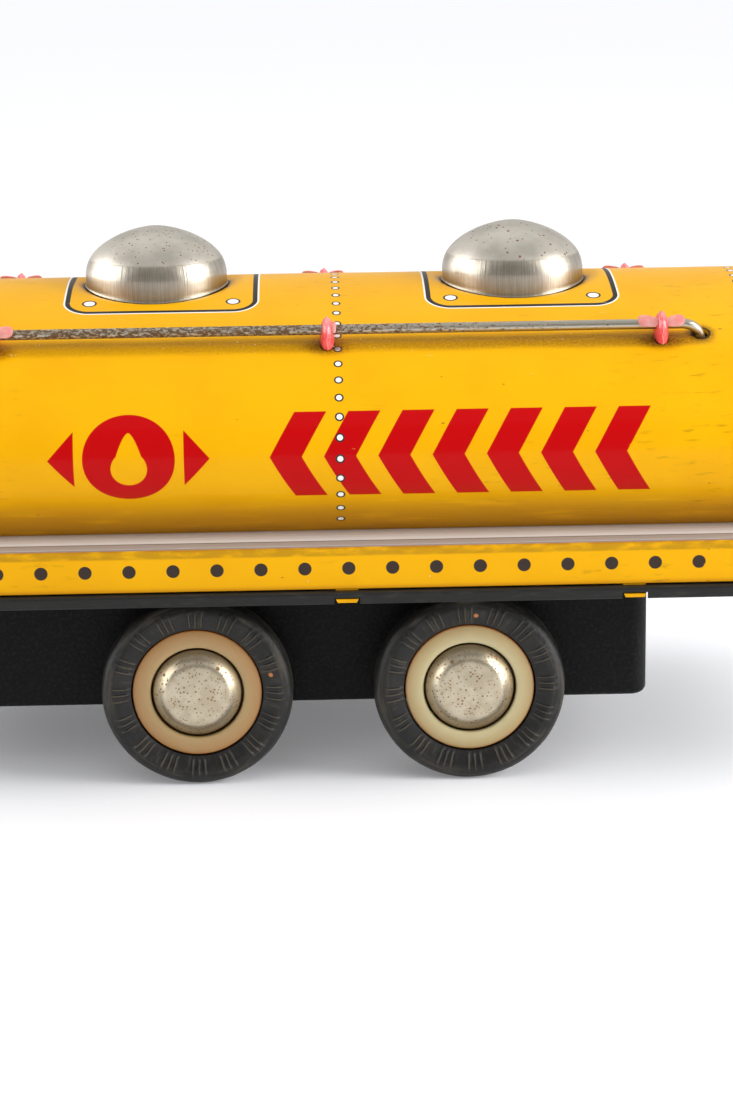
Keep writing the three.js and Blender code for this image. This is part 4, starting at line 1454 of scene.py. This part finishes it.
def add_camera():
    """The camera at its place, turned by its yaw, tilt and roll."""
    data = bpy.data.cameras.new("camera")
    data.lens = CAMERA_LENS
    camera = add_object("camera", data)
    turn = Matrix.Identity(4)
    for degrees, axis in ((CAMERA_YAW, "Z"), (CAMERA_TILT, "X"), (CAMERA_ROLL, "Z")):
        turn = turn @ Matrix.Rotation(math.radians(degrees), 4, axis)
    camera.matrix_world = Matrix.Translation(Vector(CAMERA_PLACE) * MM) @ turn
    bpy.context.scene.camera = camera


def flat_panel(name, width, height):
    """A flat rectangle of the studio, in metres."""
    mesh = bpy.data.meshes.new(name)
    signs = ((-1, -1), (1, -1), (1, 1), (-1, 1))
    corners = [(across * width / 2, up * height / 2, 0) for across, up in signs]
    mesh.from_pydata(corners, [], [(0, 1, 2, 3)])
    panel = add_object(name, mesh)
    return panel


def add_floor():
    """A wide white floor that glows a little, so that it stays white far away."""
    floor = flat_panel("floor", 30, 30)
    glow = {"Emission Color": rgb(252, 252, 255), "Emission Strength": 0.15}
    paint = Paint("floor_white", {"Roughness": 0.7, "Specular IOR Level": 0.1, **glow})
    cloud = paint.noise(paint.point(*paint.place()), 400)
    colour = paint.mix(cloud, rgb(232, 233, 236), rgb(235, 235, 237))
    floor.data.materials.append(paint.connect(base_color=colour))


def aim(obj, location, target):
    """Puts the object at a place and turns its -Z side to the target."""
    obj.location = location
    obj.rotation_mode = "QUATERNION"
    obj.rotation_quaternion = (Vector(target) - Vector(location)).to_track_quat("-Z", "Y")


def softbox(name, location, target, width, height, watts, lights_surfaces=False):
    """A rectangular lamp; most of them are only there to be mirrored in gloss and nickel."""
    data = bpy.data.lights.new(name, "AREA")
    data.shape = "RECTANGLE"
    data.size, data.size_y = width, height
    data.energy = watts
    light = add_object(name, data)
    aim(light, location, target)
    light.visible_diffuse = lights_surfaces


def overhead_sun(strength):
    """Even light from a very broad source above, which lights the far floor as much as the near."""
    data = bpy.data.lights.new("overhead", "SUN")
    data.energy = strength
    data.angle = math.radians(70)
    light = add_object("overhead", data)
    light.rotation_euler = (math.radians(4), 0, 0)
    light.visible_glossy = False


def dark_card(name, location, target, width, height):
    """A grey studio card that only gloss and nickel show."""
    card = flat_panel(name, width, height)
    aim(card, location, target)
    paint = Paint(name, {"Base Color": rgb(150, 148, 144), "Roughness": 1})
    card.data.materials.append(paint.material)
    card.visible_camera = False
    card.visible_diffuse = False
    card.visible_transmission = False
    card.visible_shadow = False


def add_studio():
    """White surroundings, three softboxes, a broad light from above and a grey card in front."""
    world = bpy.data.worlds.new("studio")
    world.use_nodes = True
    background = world.node_tree.nodes["Background"]
    background.inputs["Color"].default_value = (1, 1, 1, 1)
    background.inputs["Strength"].default_value = 0.7
    bpy.context.scene.world = world
    bpy.context.scene.view_settings.view_transform = "Standard"
    middle = (TANK_X * MM, 0, TANK_CENTRE_Z * MM)
    softbox("back_softbox", (0, 0.6, 1.05), middle, 2.6, 0.6, 1.9)
    softbox("left_softbox", (-1.1, 0.06, 0.42), middle, 1.3, 0.8, 14)
    softbox("right_softbox", (1.05, -0.3, 0.42), middle, 0.6, 0.8, 13, lights_surfaces=True)
    overhead_sun(0.95)
    dark_card("front_card", (0, -1.3, 0.6), (0, 0, 0.6), 3, 1.18)


# ---------------------------------------------------------------- the wagon

yellow_plain = plain_yellow()
domes_nickel = {
    "front": brushed_nickel("front_dome_nickel", 0.5, 0.7),
    "rear": brushed_nickel("rear_dome_nickel", 0.72, 0.85),
}
steel_wire = rail_steel()
coral = coral_plastic()
wings = wing_plastic()
bare_steel = plain_steel("axle_steel", rgb(150, 146, 138))

tank_shell(tank_litho())
end_cap("front", -1, yellow_plain)
end_cap("rear", 1, yellow_plain)
for dome_end, dome_x in DOME_XS.items():
    filler_dome(dome_end, dome_x, domes_nickel[dome_end])

for side_name, side in SIDES.items():
    handrail(side_name, side, steel_wire)
    for place, clip_x in CLIP_XS.items():
        is_broken = side_name == "left" and place == "middle"
        reaches = BROKEN_WING_REACHES if is_broken else WING_REACHES
        rail_clip(side_name, place, side, clip_x, reaches, coral, wings)

skirt_tray(tray_litho())
base_plate(satin_black("lip_black"))
undercarriage(wrinkled_black())
for tab_side_name, tab_side in SIDES.items():
    for tab_number, tab_x in enumerate(TAB_XS, start=1):
        folded_tab(tab_number, tab_side_name, tab_side, tab_x, yellow_plain)

creams = {
    "front": aged_cream("front_cream", rgb(168, 142, 96), rgb(170, 130, 80)),
    "rear": aged_cream("rear_cream", rgb(192, 180, 138), rgb(180, 156, 108)),
}
wheelsets(dusty_rubber(), creams, wheel_nickel(), bare_steel)
drawbar(satin_black("bar_black"))
drawbar_rivet(plain_steel("rivet_steel", rgb(138, 134, 126)))

add_floor()
add_studio()
add_camera()
